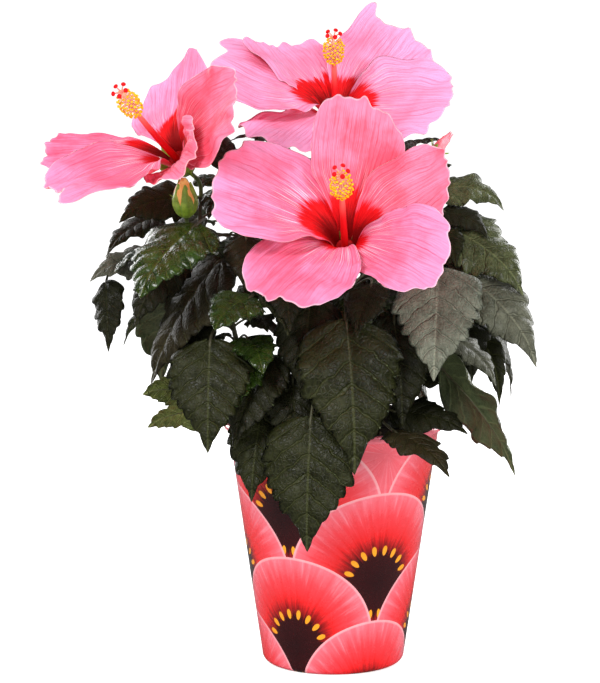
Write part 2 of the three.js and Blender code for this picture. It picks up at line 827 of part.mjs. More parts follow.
// What a leaf would touch: the pot, or the owner of something that stands there. Leaves of the same
// mass may come closer to each other, and their stalks start in the same shoot.
function blockedBy(bladePoints, stalkPoints, owner) {
  const rim = POT.topRadius + POT.lip + ROOM.pot;
  for (const p of [...bladePoints, ...stalkPoints.slice(2)]) {
    if (p.z < POT.height + ROOM.pot && Math.hypot(p.x, p.y) < rim) return "pot";
  }
  for (const { point, radius, owner: other, kind } of taken) {
    const own = other === owner;
    const forBlade = radius + (own ? ROOM.own[kind] : ROOM.blade[kind]);
    const forStalk = own ? 0 : radius + ROOM.stalk[kind];
    if (forBlade > 0 && bladePoints.some((p) => p.distanceTo(point) < forBlade)) return `${other} ${kind}`;
    if (forStalk > 0 && stalkPoints.slice(2).some((p) => p.distanceTo(point) < forStalk)) return `${other} ${kind}*`;
  }
  return "";
}

// True if a leaf placed by rule keeps inside the crown and out of the gap.
function inCrown(points) {
  const { centre, reach, halfHeight, squareness } = CROWN;
  const [x, y, z] = centre;
  return points.every((p) => {
    const inGap = GAP.low.every((low, k) => p.getComponent(k) > low && p.getComponent(k) < GAP.high[k]);
    const level = Math.hypot(p.x - x, p.y - y) / reach;
    const height = Math.abs(p.z - z) / halfHeight;
    return !inGap && level ** squareness + height ** squareness < 1;
  });
}

// Tries a leaf as it is and then turned a little, and keeps the first that is clear.
function placeLeaf(name, leaf, byRule) {
  for (const [turn, tilt, share] of TRIES) {
    const { heading, pitch, length } = leaf;
    const tried = { ...leaf, heading: heading + turn, pitch: pitch + tilt, length: length * share };
    const points = spread(leafSurface(tried), ...BLADE_GRID);
    const stalk = along(petioleCurve(shootCurves[name], tried), 6);
    if (byRule && !inCrown(points)) continue;
    if (blockedBy(points, stalk, name)) continue;
    take(points, 0, name, "blade");
    take(stalk, PETIOLE.radius, name, "stalk");
    leaves[name].push(tried);
    return true;
  }
  return false;
}

// Leaves by rule: they climb the shoot in a spiral, longest below, and hang more the lower they are.
const FILL = { reach: 30, longest: 84, shortest: 46, vary: 12, low: -62, high: -8 };
function fillMass(name, { filled, seed }) {
  for (let k = 0; k < filled; k++) {
    const up = filled > 1 ? k / (filled - 1) : 0.5;
    const heading = seed * 40 + k * GOLDEN_TURN + 16 * (chance(seed, k) - 0.5);
    const node = shootCurves[name].getPoint(mix(0.2, 0.97, up));
    const length = mix(FILL.longest, FILL.shortest, up) + FILL.vary * (chance(seed, k + 50) - 0.5);
    const reach = FILL.reach * mix(1.1, 0.7, up);
    const leaf = {
      foot: node.addScaledVector(direction(heading, 14), reach),
      heading,
      pitch: mix(FILL.low, FILL.high, up * up) + 14 * (chance(seed, k + 100) - 0.5),
      droop: 36 + 24 * chance(seed, k + 150),
      length,
      roll: 30 * (chance(seed, k + 200) - 0.5),
      breadth: 1,
      phase: 6 * chance(seed, k + 250),
    };
    placeLeaf(name, leaf, true);
  }
}

const leaves = Object.fromEntries(Object.keys(MASSES).map((name) => [name, []]));
take(along(trunkCurve, 16), TRUNK.footRadius, "trunk", "limb");
for (const [name, curve] of Object.entries(boughCurves)) take(along(curve, 14), BOUGH.footRadius, name, "limb");
for (const [name, curve] of Object.entries(shootCurves)) take(along(curve, 12), BOUGH.tipRadius, name, "shoot");
for (const [name, bloom] of Object.entries(BLOOMS)) {
  const frame = bloomFrame(bloom);
  for (const surface of petalSurfaces(bloom)) take(spread(surface, 9, 8), 1, name, "petal");
  take(along(stalkCurve(bloom.carrier, STALK.leaves, frame.foot, frame.axis), 8), STALK.radius, name, "limb");
  take([bloomPoint(frame, 0, 0, 6)], 9, name, "limb");
  take([bloomPoint(frame, 0, 0, 15)], 10, name, "limb");
}
for (const [name, bud] of Object.entries(BUDS)) {
  const frame = budFrame(bud);
  take(along(stalkCurve(bud.carrier, bud.leaves, frame.foot, frame.axis), 8), STALK.radius, name, "limb");
  take([0.3, 0.7].map((share) => bloomPoint(frame, 0, 0, share * bud.length)), bud.radius, name, "limb");
}
for (const [name, { shown, seed }] of Object.entries(MASSES)) {
  shown.forEach(([x, y, z, heading, pitch, droop, length, roll, breadth], k) => {
    const foot = new THREE.Vector3(x, y, z);
    const phase = 6 * chance(seed, k + 300);
    const leaf = { foot, heading, pitch, droop, length, roll, breadth, phase };
    placeLeaf(name, leaf, false);
  });
}
for (const [name, mass] of Object.entries(MASSES)) fillMass(name, mass);

// A mass: its shoot with all its leaves and their stalks, fused.
function makeMass(name, trunkCutter) {
  const shoot = limb(shootCurves[name], shootRadius, SHOOT.sides, SHOOT.steps);
  const parts = [MASSES[name].bough ? shoot : largest(shoot.subtract(trunkCutter))];
  for (const leaf of leaves[name]) {
    const stalk = petioleCurve(shootCurves[name], leaf);
    parts.push(limb(stalk, () => PETIOLE.radius, PETIOLE.sides, PETIOLE.steps));
    parts.push(blade(leafSurface(leaf), LEAF.rows, LEAF.columns, LEAF.thickness * leaf.length));
  }
  return largest(joined(parts));
}

// ---------------------------------------------------------------- the whole plant

const FINISH = {
  pot: { color: 0xe0506a, roughness: 0.3 },
  soil: { color: 0x2b1d14, roughness: 0.95 },
  bark: { color: 0x4a3a2a, roughness: 0.8 },
  leaf: { color: 0x22351f, roughness: 0.4 },
  petal: { color: 0xf58aa5, roughness: 0.6 },
  pollen: { color: 0xf0b030, roughness: 0.7 },
  sepal: { color: 0x5a8a2a, roughness: 0.6 },
};

const plant = new THREE.Group();

function add(name, solid, finish) {
  const material = new THREE.MeshStandardMaterial({ ...FINISH[finish], metalness: 0 });
  const mesh = new THREE.Mesh(geometryOf(solid), material);
  mesh.name = name;
  plant.add(mesh);
}

const trunkCutter = makeTrunk(CLEAR);
add("pot", makePot(), "pot");
add("soil", makeSoil(), "soil");
add("trunk", makeTrunk(0), "bark");
for (const [name, curve] of Object.entries(boughCurves)) {
  const bough = limb(curve, taper(BOUGH.footRadius, BOUGH.tipRadius), BOUGH.sides, BOUGH.steps);
  add(name, largest(bough.subtract(trunkCutter)), "bark");
}
for (const name of Object.keys(MASSES)) add(name, makeMass(name, trunkCutter), "leaf");

// A shoot made thicker by the gap that what it carries keeps.
function shootCutter(name) {
  return limb(shootCurves[name], (share) => shootRadius(share) + CLEAR, SHOOT.sides, SHOOT.steps);
}

for (const [name, bloom] of Object.entries(BLOOMS)) {
  add(`${name}_calyx`, largest(makeCalyx(bloom).subtract(shootCutter(bloom.carrier))), "sepal");
  add(`${name}_petals`, makePetals(bloom), "petal");
  add(`${name}_column`, makeColumn(bloom), "pollen");
}
for (const [name, bud] of Object.entries(BUDS)) {
  add(name, largest(makeBud(bud).subtract(shootCutter(bud.carrier))), "sepal");
}

export default plant;
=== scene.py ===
"""A potted hibiscus shrub in bloom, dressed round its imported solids.

Lengths are in millimetres until a mesh is made. +Z is up, and the lowest bloom faces -Y. The leaves
grow by the rule that gave the solids theirs, and then again by a finer one between them.
"""

import math

import bpy
import numpy as np
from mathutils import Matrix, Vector


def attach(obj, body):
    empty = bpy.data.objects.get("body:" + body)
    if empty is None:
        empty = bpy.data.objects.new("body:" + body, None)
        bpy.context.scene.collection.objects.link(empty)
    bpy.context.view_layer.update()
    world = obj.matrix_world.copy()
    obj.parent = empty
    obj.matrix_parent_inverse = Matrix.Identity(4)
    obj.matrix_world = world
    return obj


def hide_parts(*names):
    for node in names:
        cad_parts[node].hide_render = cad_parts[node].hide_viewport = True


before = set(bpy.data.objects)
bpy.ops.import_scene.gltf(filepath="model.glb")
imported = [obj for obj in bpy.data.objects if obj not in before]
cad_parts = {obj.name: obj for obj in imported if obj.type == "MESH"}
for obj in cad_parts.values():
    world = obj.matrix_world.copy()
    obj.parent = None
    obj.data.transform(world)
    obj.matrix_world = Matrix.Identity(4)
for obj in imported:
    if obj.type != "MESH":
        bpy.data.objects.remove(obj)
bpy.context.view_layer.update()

MM = 0.001

# ---------------------------------------------------------------- driving sizes

POT = dict(top=65, foot=43, height=150, wall=1.6, floor=2.5, round=5, lip=2.2, lip_height=5)
SOIL = dict(top=139, dome=3, gap=0.6)
TRUNK = dict(foot=(-9, 2), top=(-20, 4, 212), foot_radius=6.2, top_radius=3.4, flare=0.7, flare_height=9)
BOUGH = dict(foot=3.3, tip=2.1)
SHOOT = dict(tip=1.2, lead=0.4)
STALK = dict(radius=1.4, leaves=0.97)
PETIOLE = dict(radius=0.9, rise=5, sunk=0.1)
LEAF = dict(half=0.33, widest=0.31, foot=0.52, fold=0.2, arch=0.34, wave=0.09, waves=2.5, thick=0.5)
PETAL = dict(
    foot=(4.6, 9), claw=0.075, widest=0.72, leave=12, flare=70, flared=0.42, overlap=0.18,
    ruffle=4, ruffles=3, margin=0.8, peak=0.25, thick=0.7, steps=40, past=1.4,
)
EYE_HEIGHT = 26
COLUMN = dict(foot=12.6, foot_radius=2.3, tip_radius=1.3)
CLEAR = 0.3
CROWN = dict(centre=(-10, 4, 212), reach=136, half_height=112, squareness=3)
GAP = dict(low=(-58, -44, 186), high=(-24, 200, 224))
KINDS = ("blade", "petal", "stalk", "limb", "shoot")
ROOM = dict(pot=1.5, blade=(5, 4.5, 3.5, 3, 3), stalk=(4, 4, 1.5, 1.5, 1.5), own=(3, 4, -9, 3, -9))
GOLDEN_TURN = 137.5

# The turn, tilt and share of its length that a leaf tries, in this order, where it would touch.
TRIES = (
    (0, 0, 1), (9, 0, 1), (-9, 0, 1), (0, -9, 1), (0, 9, 1), (18, -6, 1), (-18, -6, 1), (0, 0, 0.85),
    (24, 8, 0.9), (-24, 8, 0.9), (12, -14, 0.8), (-12, -14, 0.8), (36, 0, 0.8), (-36, 0, 0.8), (0, 0, 0.7),
)

# Each bough: where it leaves the trunk, as a share of the trunk's length, its tip, and its rise.
BOUGHS = {
    "bough_left": (0.58, (-62, -12, 226), 8),
    "bough_left_low": (0.34, (-46, -32, 186), 4),
    "bough_front_left": (0.76, (-34, -30, 224), 2),
    "bough_front": (0.93, (4, -24, 210), -8),
    "bough_right": (0.74, (42, -6, 232), 8),
    "bough_right_low": (0.46, (38, -32, 190), 0),
    "bough_top": (0.97, (-6, 34, 256), 8),
    "bough_back_left": (0.68, (-48, 46, 222), 8),
    "bough_back_right": (0.56, (40, 48, 218), 8),
    "bough_back_low": (0.4, (-4, 50, 186), 4),
}

# Each mass: the bough or the share of the trunk that carries it, its shoot's tip, its filled leaves and
# seed, and its shown leaves: foot, heading, pitch, droop, length, roll, breadth and tone.
# Of the leaf tones, the pale grey and silver ones are painted sheen, a painted reflection of the sky on
# glossy leaves, and the moss one is a lighter green painted for the stronger light on the right side's
# leaves.
MASSES = {
    "leaves_left_high": dict(bough="bough_left", tip=(-80, -8, 290), filled=5, seed=3, shown=(
        (-86, -30, 288, -160, -14, 40, 46, -42, 1, "olive"),
        (-80, -62, 275, -131, -36, 34, 61, -6, 1.3, "bright"),
        (-100, -12, 246, -172, -8, 60, 50, -30, 1, "grey"),
        (-138, -8, 236, -80, -72, 30, 42, 50, 0.9, "dark"),
        (-92, -30, 252, -142, -48, 40, 50, -20, 1, "dark"),
        (-62, -8, 302, 120, 50, 30, 34, 0, 1, "dark"),
    )),
    "leaves_left_low": dict(bough="bough_left_low", tip=(-62, -40, 230), filled=3, seed=5, shown=(
        (-66, -44, 254, -165, -58, 24, 84, -14, 1.1, "brown"),
        (-48, -74, 234, -132, -18, 40, 42, -20, 1.15, "bright"),
        (-73, -67, 209, -92, -68, 36, 66, 0, 1.1, "olive"),
        (-36, -54, 197, -134, -56, 36, 60, -8, 1, "dark"),
    )),
    "leaves_front_left": dict(bough="bough_front_left", tip=(-42, -36, 262), filled=1, seed=6, shown=(
        (-52, -58, 268, -90, -54, 30, 34, 0, 1.15, "brown"),
        (-33, -56, 253, -84, -54, 30, 45, -8, 1.1, "dark"),
    )),
    "leaves_front": dict(bough="bough_front", tip=(8, -34, 236), filled=2, seed=7, shown=(
        (6, -74, 222, -78, -74, 30, 88, 0, 1.05, "olive"),
        (22, -58, 240, -110, -50, 36, 40, 0, 1, "dark"),
        (-14, -54, 232, -101, -66, 30, 60, 0, 1, "dark"),
    )),
    # The moss tone on the right side's leaves is a lighter green painted for the stronger light there.
    "leaves_right_high": dict(bough="bough_right", tip=(52, 0, 298), filled=4, seed=11, shown=(
        (61, 0, 288, -6, -10, 80, 46, 28, 1.1, "moss"),
        (64, -12, 278, -22, -24, 60, 34, 30, 1, "dark"),
        (65, -16, 270, -20, -36, 40, 64, 34, 1.1, "moss"),
        (67, -26, 247, -20, -44, 44, 80, 34, 0.9, "grey"),
    )),
    "leaves_right_low": dict(bough="bough_right_low", tip=(58, -36, 228), filled=3, seed=13, shown=(
        (61, -60, 250, -98, -62, 34, 68, 6, 1.15, "silver"),
        (34, -56, 222, -72, -74, 24, 64, 10, 1, "dark"),
        (61, -54, 192, -32, -48, 24, 78, -50, 1.25, "moss"),
        (77, -26, 222, -58, -78, 30, 44, 10, 1, "dark"),
        (80, -16, 213, -24, -66, 50, 54, 60, 0.5, "olive"),
    )),
    "leaves_top": dict(bough="bough_top", tip=(4, 52, 298), filled=8, seed=17, shown=(
        (-22, 22, 308, -168, 18, 50, 46, 0, 1, "dark"),
        (30, 24, 306, 8, 18, 50, 44, 0, 1, "dark"),
    )),
    "leaves_back_left": dict(bough="bough_back_left", tip=(-60, 58, 284), filled=13, seed=19, shown=()),
    "leaves_back_right": dict(bough="bough_back_right", tip=(54, 58, 282), filled=13, seed=23, shown=()),
    "leaves_back_low": dict(bough="bough_back_low", tip=(0, 70, 236), filled=11, seed=29, shown=()),
    "leaves_foot_left": dict(trunk=0.18, tip=(-50, -18, 174), filled=4, seed=31, shown=(
        (-74, -26, 168, -172, 6, 30, 42, 64, 1, "fresh"),
        (-66, -36, 162, -164, -8, 30, 48, 50, 1, "fresh"),
        (-42, -52, 168, -106, -64, 34, 58, 0, 1, "olive"),
    )),
    "leaves_foot_front": dict(trunk=0.26, tip=(-4, -46, 180), filled=0, seed=37, shown=(
        (-25, -58, 186, -84, -66, 24, 52, 0, 1, "dark"),
        (-14, -80, 166, -100, -70, 24, 76, 0, 1.1, "olive"),
    )),
    "leaves_foot_right": dict(trunk=0.14, tip=(24, -24, 170), filled=5, seed=41, shown=(
        (32, -48, 162, -14, -8, 30, 51, 26, 1, "dark"),
        (33, -73, 155, -34, -12, 30, 55, 0, 0.9, "brown"),
    )),
    "leaves_foot_back": dict(trunk=0.22, tip=(8, 38, 172), filled=8, seed=43, shown=()),
}

# Each bloom: its eye, where it faces, its column's reach and bend, its carrying shoot, and its petals:
# azimuth, lean, length, half width, curl, skew, place and height of a drawn-out point, and tone.
# Of the petal tones, the orchid one is the paler violet pink painted for petals that face the light, the rose
# one is the deeper coral painted for petals in shade, and pink lies between them.
BLOOMS = {
    "bloom_front": dict(
        eye=(5, -80, 271), heading=-94, pitch=43, column=81, bend=1, carrier="leaves_front",
        petals=(
            (82, -10, 90, 28, 16, 0.05, 0, 0, "rose"),
            (15, -10, 81, 30, 0, 0.1, 0, 0, "rose"),
            (-34, -12, 83, 29, 30, -0.05, 0, 0, "pink"),
            (241, -9, 92, 36, 25, 0.05, 0, 0, "pink"),
            (167, -9, 92, 43, 15, 0, 0, 0, "pink"),
        ),
    ),
    "bloom_top": dict(
        eye=(1, 20, 340), heading=-94, pitch=60, column=73, bend=3, carrier="leaves_top",
        petals=(
            (50, 2, 78, 35, 2, -0.04, 0.95, 0.26, "lit_orchid"),
            (-12, 6, 82, 42, 10, 0, 0, 0, "lit_orchid"),
            (122, 6, 77, 28, 12, 0.05, 0.95, 0.14, "lit_orchid"),
            (156, 4, 86, 62, 16, 0.06, -0.45, 0.28, "lit_orchid"),
            (238, 2, 80, 36, 22, 0, 0, 0, "lit_orchid"),
        ),
    ),
    "bloom_left": dict(
        eye=(-97, -48, 318), heading=-119, pitch=33, column=88, bend=2, carrier="leaves_left_high",
        petals=(
            (104, 34, 62, 33, 0, -0.14, -0.08, 0.36, "lit_orchid"),
            (13, -20, 88, 30, 12, -0.05, 0, 0, "rose"),
            (-32, -30, 60, 27, 10, 0, 0, 0, "rose"),
            (246, -24, 94, 32, 9, 0, 0.5, 0.16, "pink"),
            (184, 18, 90, 13, 5, 0.08, 0, 0, "pink"),
        ),
    ),
}

# Each bud: foot, heading, pitch, length, radius, carrying shoot and the place where it leaves it, how much
# of it the sepals cover, how frilled its tip is, and the tone of its rolled petals.
BUDS = {
    "bud_left": dict(
        foot=(-87, -56, 280), heading=-95, pitch=64, length=25, radius=7.5,
        carrier="leaves_left_high", leaves=0.42, cover=0.84, frill=0, tone="apricot",
    ),
    "bud_right": dict(
        foot=(56, -6, 308), heading=-10, pitch=50, length=22, radius=4,
        carrier="leaves_right_high", leaves=0.97, cover=0.5, frill=1, tone="rose",
    ),
}

# ---------------------------------------------------------------- small helpers


def mix(a, b, share):
    """a at share 0 and b at share 1."""
    return (1 - share) * a + share * b


def smooth(low, high, x):
    """0 below low, 1 above high, and 3t² - 2t³ between."""
    t = np.clip((x - low) / (high - low), 0, 1)
    return t * t * (3 - 2 * t)


def chance(seed, n):
    """A repeatable number from 0 to 1: the fraction of 43758.5453 sin(12.9898 seed + 78.233 n)."""
    x = np.sin(seed * 12.9898 + n * 78.233) * 43758.5453
    return x - np.floor(x)


def direction(heading, pitch):
    """The unit vector with a heading (0 is +X, 90 is +Y) and a pitch above the level, in degrees."""
    h, p = np.radians(heading), np.radians(pitch)
    return np.stack([np.cos(p) * np.cos(h), np.cos(p) * np.sin(h), np.sin(p) + 0 * h], axis=-1)


def unit(v):
    """v divided by its length."""
    return v / np.maximum(np.linalg.norm(v, axis=-1, keepdims=True), 1e-12)


def quadratic(a, b, c):
    """The curve (1-t)² a + 2t(1-t) b + t² c."""
    a, b, c = (np.asarray(p, float) for p in (a, b, c))

    def at(t):
        """The point at t, or the points at many."""
        t = np.asarray(t, float)[..., None]
        return (1 - t) ** 2 * a + 2 * t * (1 - t) * b + t**2 * c

    return at


def cubic(a, b, c, d):
    """The curve (1-t)³ a + 3t(1-t)² b + 3t²(1-t) c + t³ d."""
    a, b, c, d = (np.asarray(p, float) for p in (a, b, c, d))

    def at(t):
        """The point at t, or the points at many."""
        t = np.asarray(t, float)[..., None]
        return (1 - t) ** 3 * a + 3 * t * (1 - t) ** 2 * b + 3 * t**2 * (1 - t) * c + t**3 * d

    return at


def bowed(a, c, bow):
    """A quadratic curve whose middle point is lifted by bow above the chord's middle."""
    a, c = np.asarray(a, float), np.asarray(c, float)
    return quadratic(a, (a + c) / 2 + [0, 0, bow], c)


def tangent(curve, t):
    """The curve's direction at t, from two points very close on either side."""
    t = np.asarray(t, float)
    return unit(curve(np.minimum(t + 1e-4, 1)) - curve(np.maximum(t - 1e-4, 0)))


# ---------------------------------------------------------------- shapes as arrays


def grid(down, along):
    """Two arrays of one shape: the first changes from row to row, the second from column to column."""
    return np.meshgrid(down, along, indexing="ij")


def weave(index, places, outward=True):
    """Four-cornered faces over a grid of point numbers, with the pattern's place at each corner."""
    def corners(values):
        """The four corners of each cell, in turn."""
        found = np.stack([values[:-1, :-1], values[1:, :-1], values[1:, 1:], values[:-1, 1:]], axis=2)
        return found if outward else found[:, :, ::-1]

    return corners(index).reshape(-1, 4), corners(places).reshape(-1, 4, 2)


def shape(points, quads, places, triangles=None, tones=0, cells=None):
    """A shape: its points, faces, the pattern's place at each corner, tones, and places in the bake's map."""
    triangles = np.zeros((0, 3), int) if triangles is None else np.asarray(triangles)
    tones = np.broadcast_to(tones, len(quads) + len(triangles))
    return dict(points=points, quads=quads, places=places, triangles=triangles, tones=tones, cells=cells)


CELL_EDGE = 0.02  # the free border round a sheet's side in its square of the bake's map


def sheet(upper, lower, places, tones):
    """A thin closed sheet: an upper and a lower grid of points that share the points of their border."""
    rows, columns = upper.shape[0] - 1, upper.shape[1] - 1
    top = np.arange((rows + 1) * (columns + 1)).reshape(rows + 1, columns + 1)
    under = top.copy()
    under[1:-1, 1:-1] = top.size + np.arange((rows - 1) * (columns - 1)).reshape(rows - 1, columns - 1)
    points = np.concatenate([upper.reshape(-1, 3), lower[1:-1, 1:-1].reshape(-1, 3)])
    steps = (np.linspace(CELL_EDGE, 1 - CELL_EDGE, count + 1) for count in (rows, columns))
    cell = np.stack(grid(*steps), axis=-1)
    face, place = weave(top, places)
    back, back_place = weave(under, places, outward=False)
    cells = [weave(top, cell)[1], weave(under, cell, outward=False)[1]]
    tone = np.repeat(tones, [len(face), len(back)])
    return shape(points, np.concatenate([face, back]), np.concatenate([place, back_place]), None, tone, cells)


def thickened(middle, half):
    """The grids half a thickness above and below a grid of points, along its own normal."""
    normal = unit(np.cross(np.gradient(middle, axis=0), np.gradient(middle, axis=1)))
    return middle + normal * half[..., None], middle - normal * half[..., None]


def limb(curve, radius, sides, rows, relief=None, tones=0):
    """A closed round limb: rings of the given radius, times 1 + relief(t, turn), square to the curve."""
    t = np.linspace(0, 1, rows + 1)
    turn = np.linspace(0, 2 * np.pi, sides + 1)
    centre, ahead = curve(t), tangent(curve, t)
    reference = np.eye(3)[np.argmin(np.abs(curve(1.0) - curve(0.0)))]
    side = unit(np.cross(ahead, reference))
    other = unit(np.cross(ahead, side))
    reach = np.broadcast_to(radius(t)[:, None], (rows + 1, sides))
    if relief is not None:
        reach = reach * (1 + relief(t[:, None], turn[None, :-1]))
    out = side[:, None] * (reach * np.cos(turn[:-1]))[..., None]
    up = other[:, None] * (reach * np.sin(turn[:-1]))[..., None]
    places = np.stack(grid(t, turn / (2 * np.pi)), axis=-1)
    return closed_rings(centre[:, None] + out + up, centre[0], centre[-1], places, tones)


def taper(foot, tip):
    """A limb's radius that changes evenly from foot to tip."""
    return lambda t: mix(foot, tip, t)


def closed_rings(rings, first, last, places, tones=0):
    """A closed shape over rings of points, each joined to the next, with a fan to a point at either end."""
    rows, sides = rings.shape[:2]
    index = np.arange(rows * sides).reshape(rows, sides)
    index = np.concatenate([index, index[:, :1]], axis=1)
    quads, place = weave(index, places, outward=False)
    points = np.concatenate([rings.reshape(-1, 3), [first, last]])
    low, high = len(points) - 2, len(points) - 1
    start = np.stack([np.full(sides, low), index[0, 1:], index[0, :-1]], axis=1)
    end = np.stack([np.full(sides, high), index[-1, :-1], index[-1, 1:]], axis=1)
    return shape(points, quads, place, np.concatenate([start, end]), tones)


def lathe(profile, sides, spread=None, tones=0):
    """A closed turned shape about +Z from [radius, height] pairs whose ends lie on the axis.
    spread(radius, height, turn) may move its points."""
    profile = np.asarray(profile, float)
    turn = np.linspace(0, 2 * np.pi, sides + 1)[:-1]
    radius, height = (np.broadcast_to(profile[1:-1, k, None], (len(profile) - 2, sides)) for k in (0, 1))
    if spread is not None:
        radius, height = spread(radius, height, turn[None])
    rings = np.stack([radius * np.cos(turn), radius * np.sin(turn), height], axis=-1)
    heights = np.concatenate([height, height[:, :1]], axis=1)
    turns = np.broadcast_to(np.linspace(0, 1, sides + 1), heights.shape)
    first, last = ([0, 0, profile[k, 1]] for k in (0, -1))
    return closed_rings(rings, first, last, np.stack([turns, heights], axis=-1), tones)


def beads(centres, axes, sizes, tones=0, sides=8, rings=5):
    """Many small egg shapes at once: unit balls stretched by sizes, two across an axis and one along it."""
    polar, turn = grid(np.linspace(0, np.pi, rings + 2)[1:-1], np.linspace(0, 2 * np.pi, sides + 1)[:-1])
    rounds = np.stack([np.sin(polar) * np.cos(turn), np.sin(polar) * np.sin(turn), np.cos(polar)], axis=-1)
    ball = closed_rings(rounds, [0, 0, 1], [0, 0, -1], np.zeros((rings, sides + 1, 2)))
    local = ball["points"]
    ahead = unit(axes)
    side = unit(np.cross(ahead, [0.31, 0.52, 0.79]))
    ways = enumerate((side, np.cross(ahead, side), ahead))
    parts = [local[None, :, n, None] * way[:, None] * sizes[:, None, n, None] for n, way in ways]
    points = centres[:, None] + sum(parts)
    jump = (np.arange(len(centres)) * len(local))[:, None, None]
    quads = (ball["quads"][None] + jump).reshape(-1, 4)
    triangles = (ball["triangles"][None] + jump).reshape(-1, 3)
    return shape(points.reshape(-1, 3), quads, np.zeros((len(quads), 4, 2)), triangles, tones)


def moved(made, frame_axes, foot):
    """A shape made along +Z at the origin, turned into a frame of three directions at foot."""
    return dict(made, points=made["points"] @ np.array(frame_axes) + foot)


def piece(name, shapes, materials, replaced=(), pattern="place"):
    """Joins shapes into one smooth mesh at the origin that rides on the plant."""
    starts = np.cumsum([0] + [len(s["points"]) for s in shapes])[:-1]
    points = np.concatenate([s["points"] for s in shapes]) * MM
    quads = np.concatenate([s["quads"] + k for s, k in zip(shapes, starts)])
    triangles = np.concatenate([s["triangles"] + k for s, k in zip(shapes, starts)])
    corners = np.concatenate([quads.ravel(), triangles.ravel()])
    begins = np.concatenate([4 * np.arange(len(quads)), 4 * len(quads) + 3 * np.arange(len(triangles))])
    quad_tones = [s["tones"][: len(s["quads"])] for s in shapes]
    fan_tones = [s["tones"][len(s["quads"]) :] for s in shapes]
    mesh = bpy.data.meshes.new(name)
    mesh.vertices.add(len(points))
    mesh.vertices.foreach_set("co", points.astype(np.float32).ravel())
    mesh.loops.add(len(corners))
    mesh.loops.foreach_set("vertex_index", corners.astype(np.int32))
    mesh.polygons.add(len(begins))
    mesh.polygons.foreach_set("loop_start", begins.astype(np.int32))
    mesh.polygons.foreach_set("material_index", np.concatenate(quad_tones + fan_tones).astype(np.int32))
    places = np.concatenate([s["places"] for s in shapes]).reshape(-1, 2)
    places = np.concatenate([places, np.zeros((3 * len(triangles), 2))])
    mesh.uv_layers.new(name=pattern).data.foreach_set("uv", places.astype(np.float32).ravel())
    if all(s["cells"] for s in shapes):
        add_bake_map(mesh, shapes)
    mesh.update(calc_edges=True)
    mesh.validate()
    mesh.shade_smooth()
    for made in materials:
        mesh.materials.append(made)
    thing = bpy.data.objects.new(name, mesh)
    bpy.context.scene.collection.objects.link(thing)
    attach(thing, "root")
    if replaced:
        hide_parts(*replaced)
    return thing


def add_bake_map(mesh, shapes):
    """A map with one square cell for each side of each sheet, so that no two faces share a place."""
    across = math.ceil(math.sqrt(sum(len(s["cells"]) for s in shapes)))
    corners, number = [], 0
    for made in shapes:
        for cell in made["cells"]:
            corners.append((cell + [number % across, number // across]) / across)
            number += 1
    layer = mesh.uv_layers.new(name="OFBake")
    layer.data.foreach_set("uv", np.concatenate(corners).astype(np.float32).ravel())


# ---------------------------------------------------------------- trunk, boughs and shoots

trunk_foot = np.array([*TRUNK["foot"], SOIL["top"] + CLEAR])
trunk_top = np.array(TRUNK["top"], float)
trunk_rise = trunk_top[2] - trunk_foot[2]
trunk_curve = quadratic(trunk_foot, [*trunk_foot[:2], (trunk_foot[2] + trunk_top[2]) / 2], trunk_top)
bough_curves = {name: bowed(trunk_curve(leaves), tip, bow) for name, (leaves, tip, bow) in BOUGHS.items()}


def trunk_radius(share):
    """The even taper, widened by the flare that dies away above the soil."""
    flare = TRUNK["flare"] * np.exp(-share * trunk_rise / TRUNK["flare_height"])
    return mix(TRUNK["foot_radius"], TRUNK["top_radius"], share) * (1 + flare)


def shoot_curve(mass):
    """A shoot carries on from its bough's tip in the bough's direction, or leaves the trunk."""
    tip = np.array(mass["tip"], float)
    if "trunk" in mass:
        return bowed(trunk_curve(mass["trunk"]), tip, 4)
    carrier = bough_curves[mass["bough"]]
    onward = tangent(carrier, 1.0)
    start = carrier(1.0) + CLEAR * onward
    return quadratic(start, start + onward * SHOOT["lead"] * np.linalg.norm(tip - start), tip)


shoot_curves = {name: shoot_curve(mass) for name, mass in MASSES.items()}


def bark_relief(seed, ridges, depth):
    """Low lengthwise ridges that wander round the limb, as sums of sines of the turn and the place."""
    def relief(t, turn):
        """The share by which the radius grows: ridges, and a knot at every ninth of the length."""
        wander = 2.2 * np.sin(3.1 * t + seed) + 0.6 * np.sin(17 * t + 2 * seed)
        rough = np.sin(ridges * turn + 4 * wander) + 0.7 * np.sin((ridges + 4) * turn - 9 * wander + 13 * t)
        knots = np.exp(-((((9 * t + 0.37 * seed) % 1) - 0.5) / 0.09) ** 2) * (1 + 0.6 * np.cos(turn - 7 * t))
        return depth * (0.5 * rough + 0.9 * knots)

    return relief


def make_wood():
    """The trunk and the boughs with the bark's relief. Boughs start inside the trunk, in a short collar."""
    sunk = quadratic(trunk_foot - [0, 0, 2], trunk_curve(0.5) * 2 - (trunk_foot + trunk_top) / 2, trunk_top)
    trunk = limb(sunk, trunk_radius, 40, 70, bark_relief(1, 5, 0.055))
    knuckle = beads(np.array([trunk_top]), np.array([[0, 0, 1.0]]), np.array([[3.6, 3.6, 4.2]]), 0, 20, 10)
    piece("trunk_bark", [trunk, knuckle], [bark], ["trunk"])

    def radius(t):
        """The even taper with a collar that dies away."""
        return mix(BOUGH["foot"], BOUGH["tip"], t) * (1 + 0.28 * np.exp(-t * 14))

    curves = enumerate(bough_curves.values())
    boughs = [limb(curve, radius, 20, 60, bark_relief(k + 2, 4, 0.06)) for k, curve in curves]
    piece("boughs_bark", boughs, [bark], list(BOUGHS))


# ---------------------------------------------------------------- blooms


def bloom_frame(foot, heading, pitch):
    """The frame of a bloom or bud: across, up and along its axis, and its foot."""
    axis = direction(heading, pitch)
    up = unit(np.array([0, 0, 1.0]) - axis * axis[2])
    return np.cross(up, axis), up, axis, foot


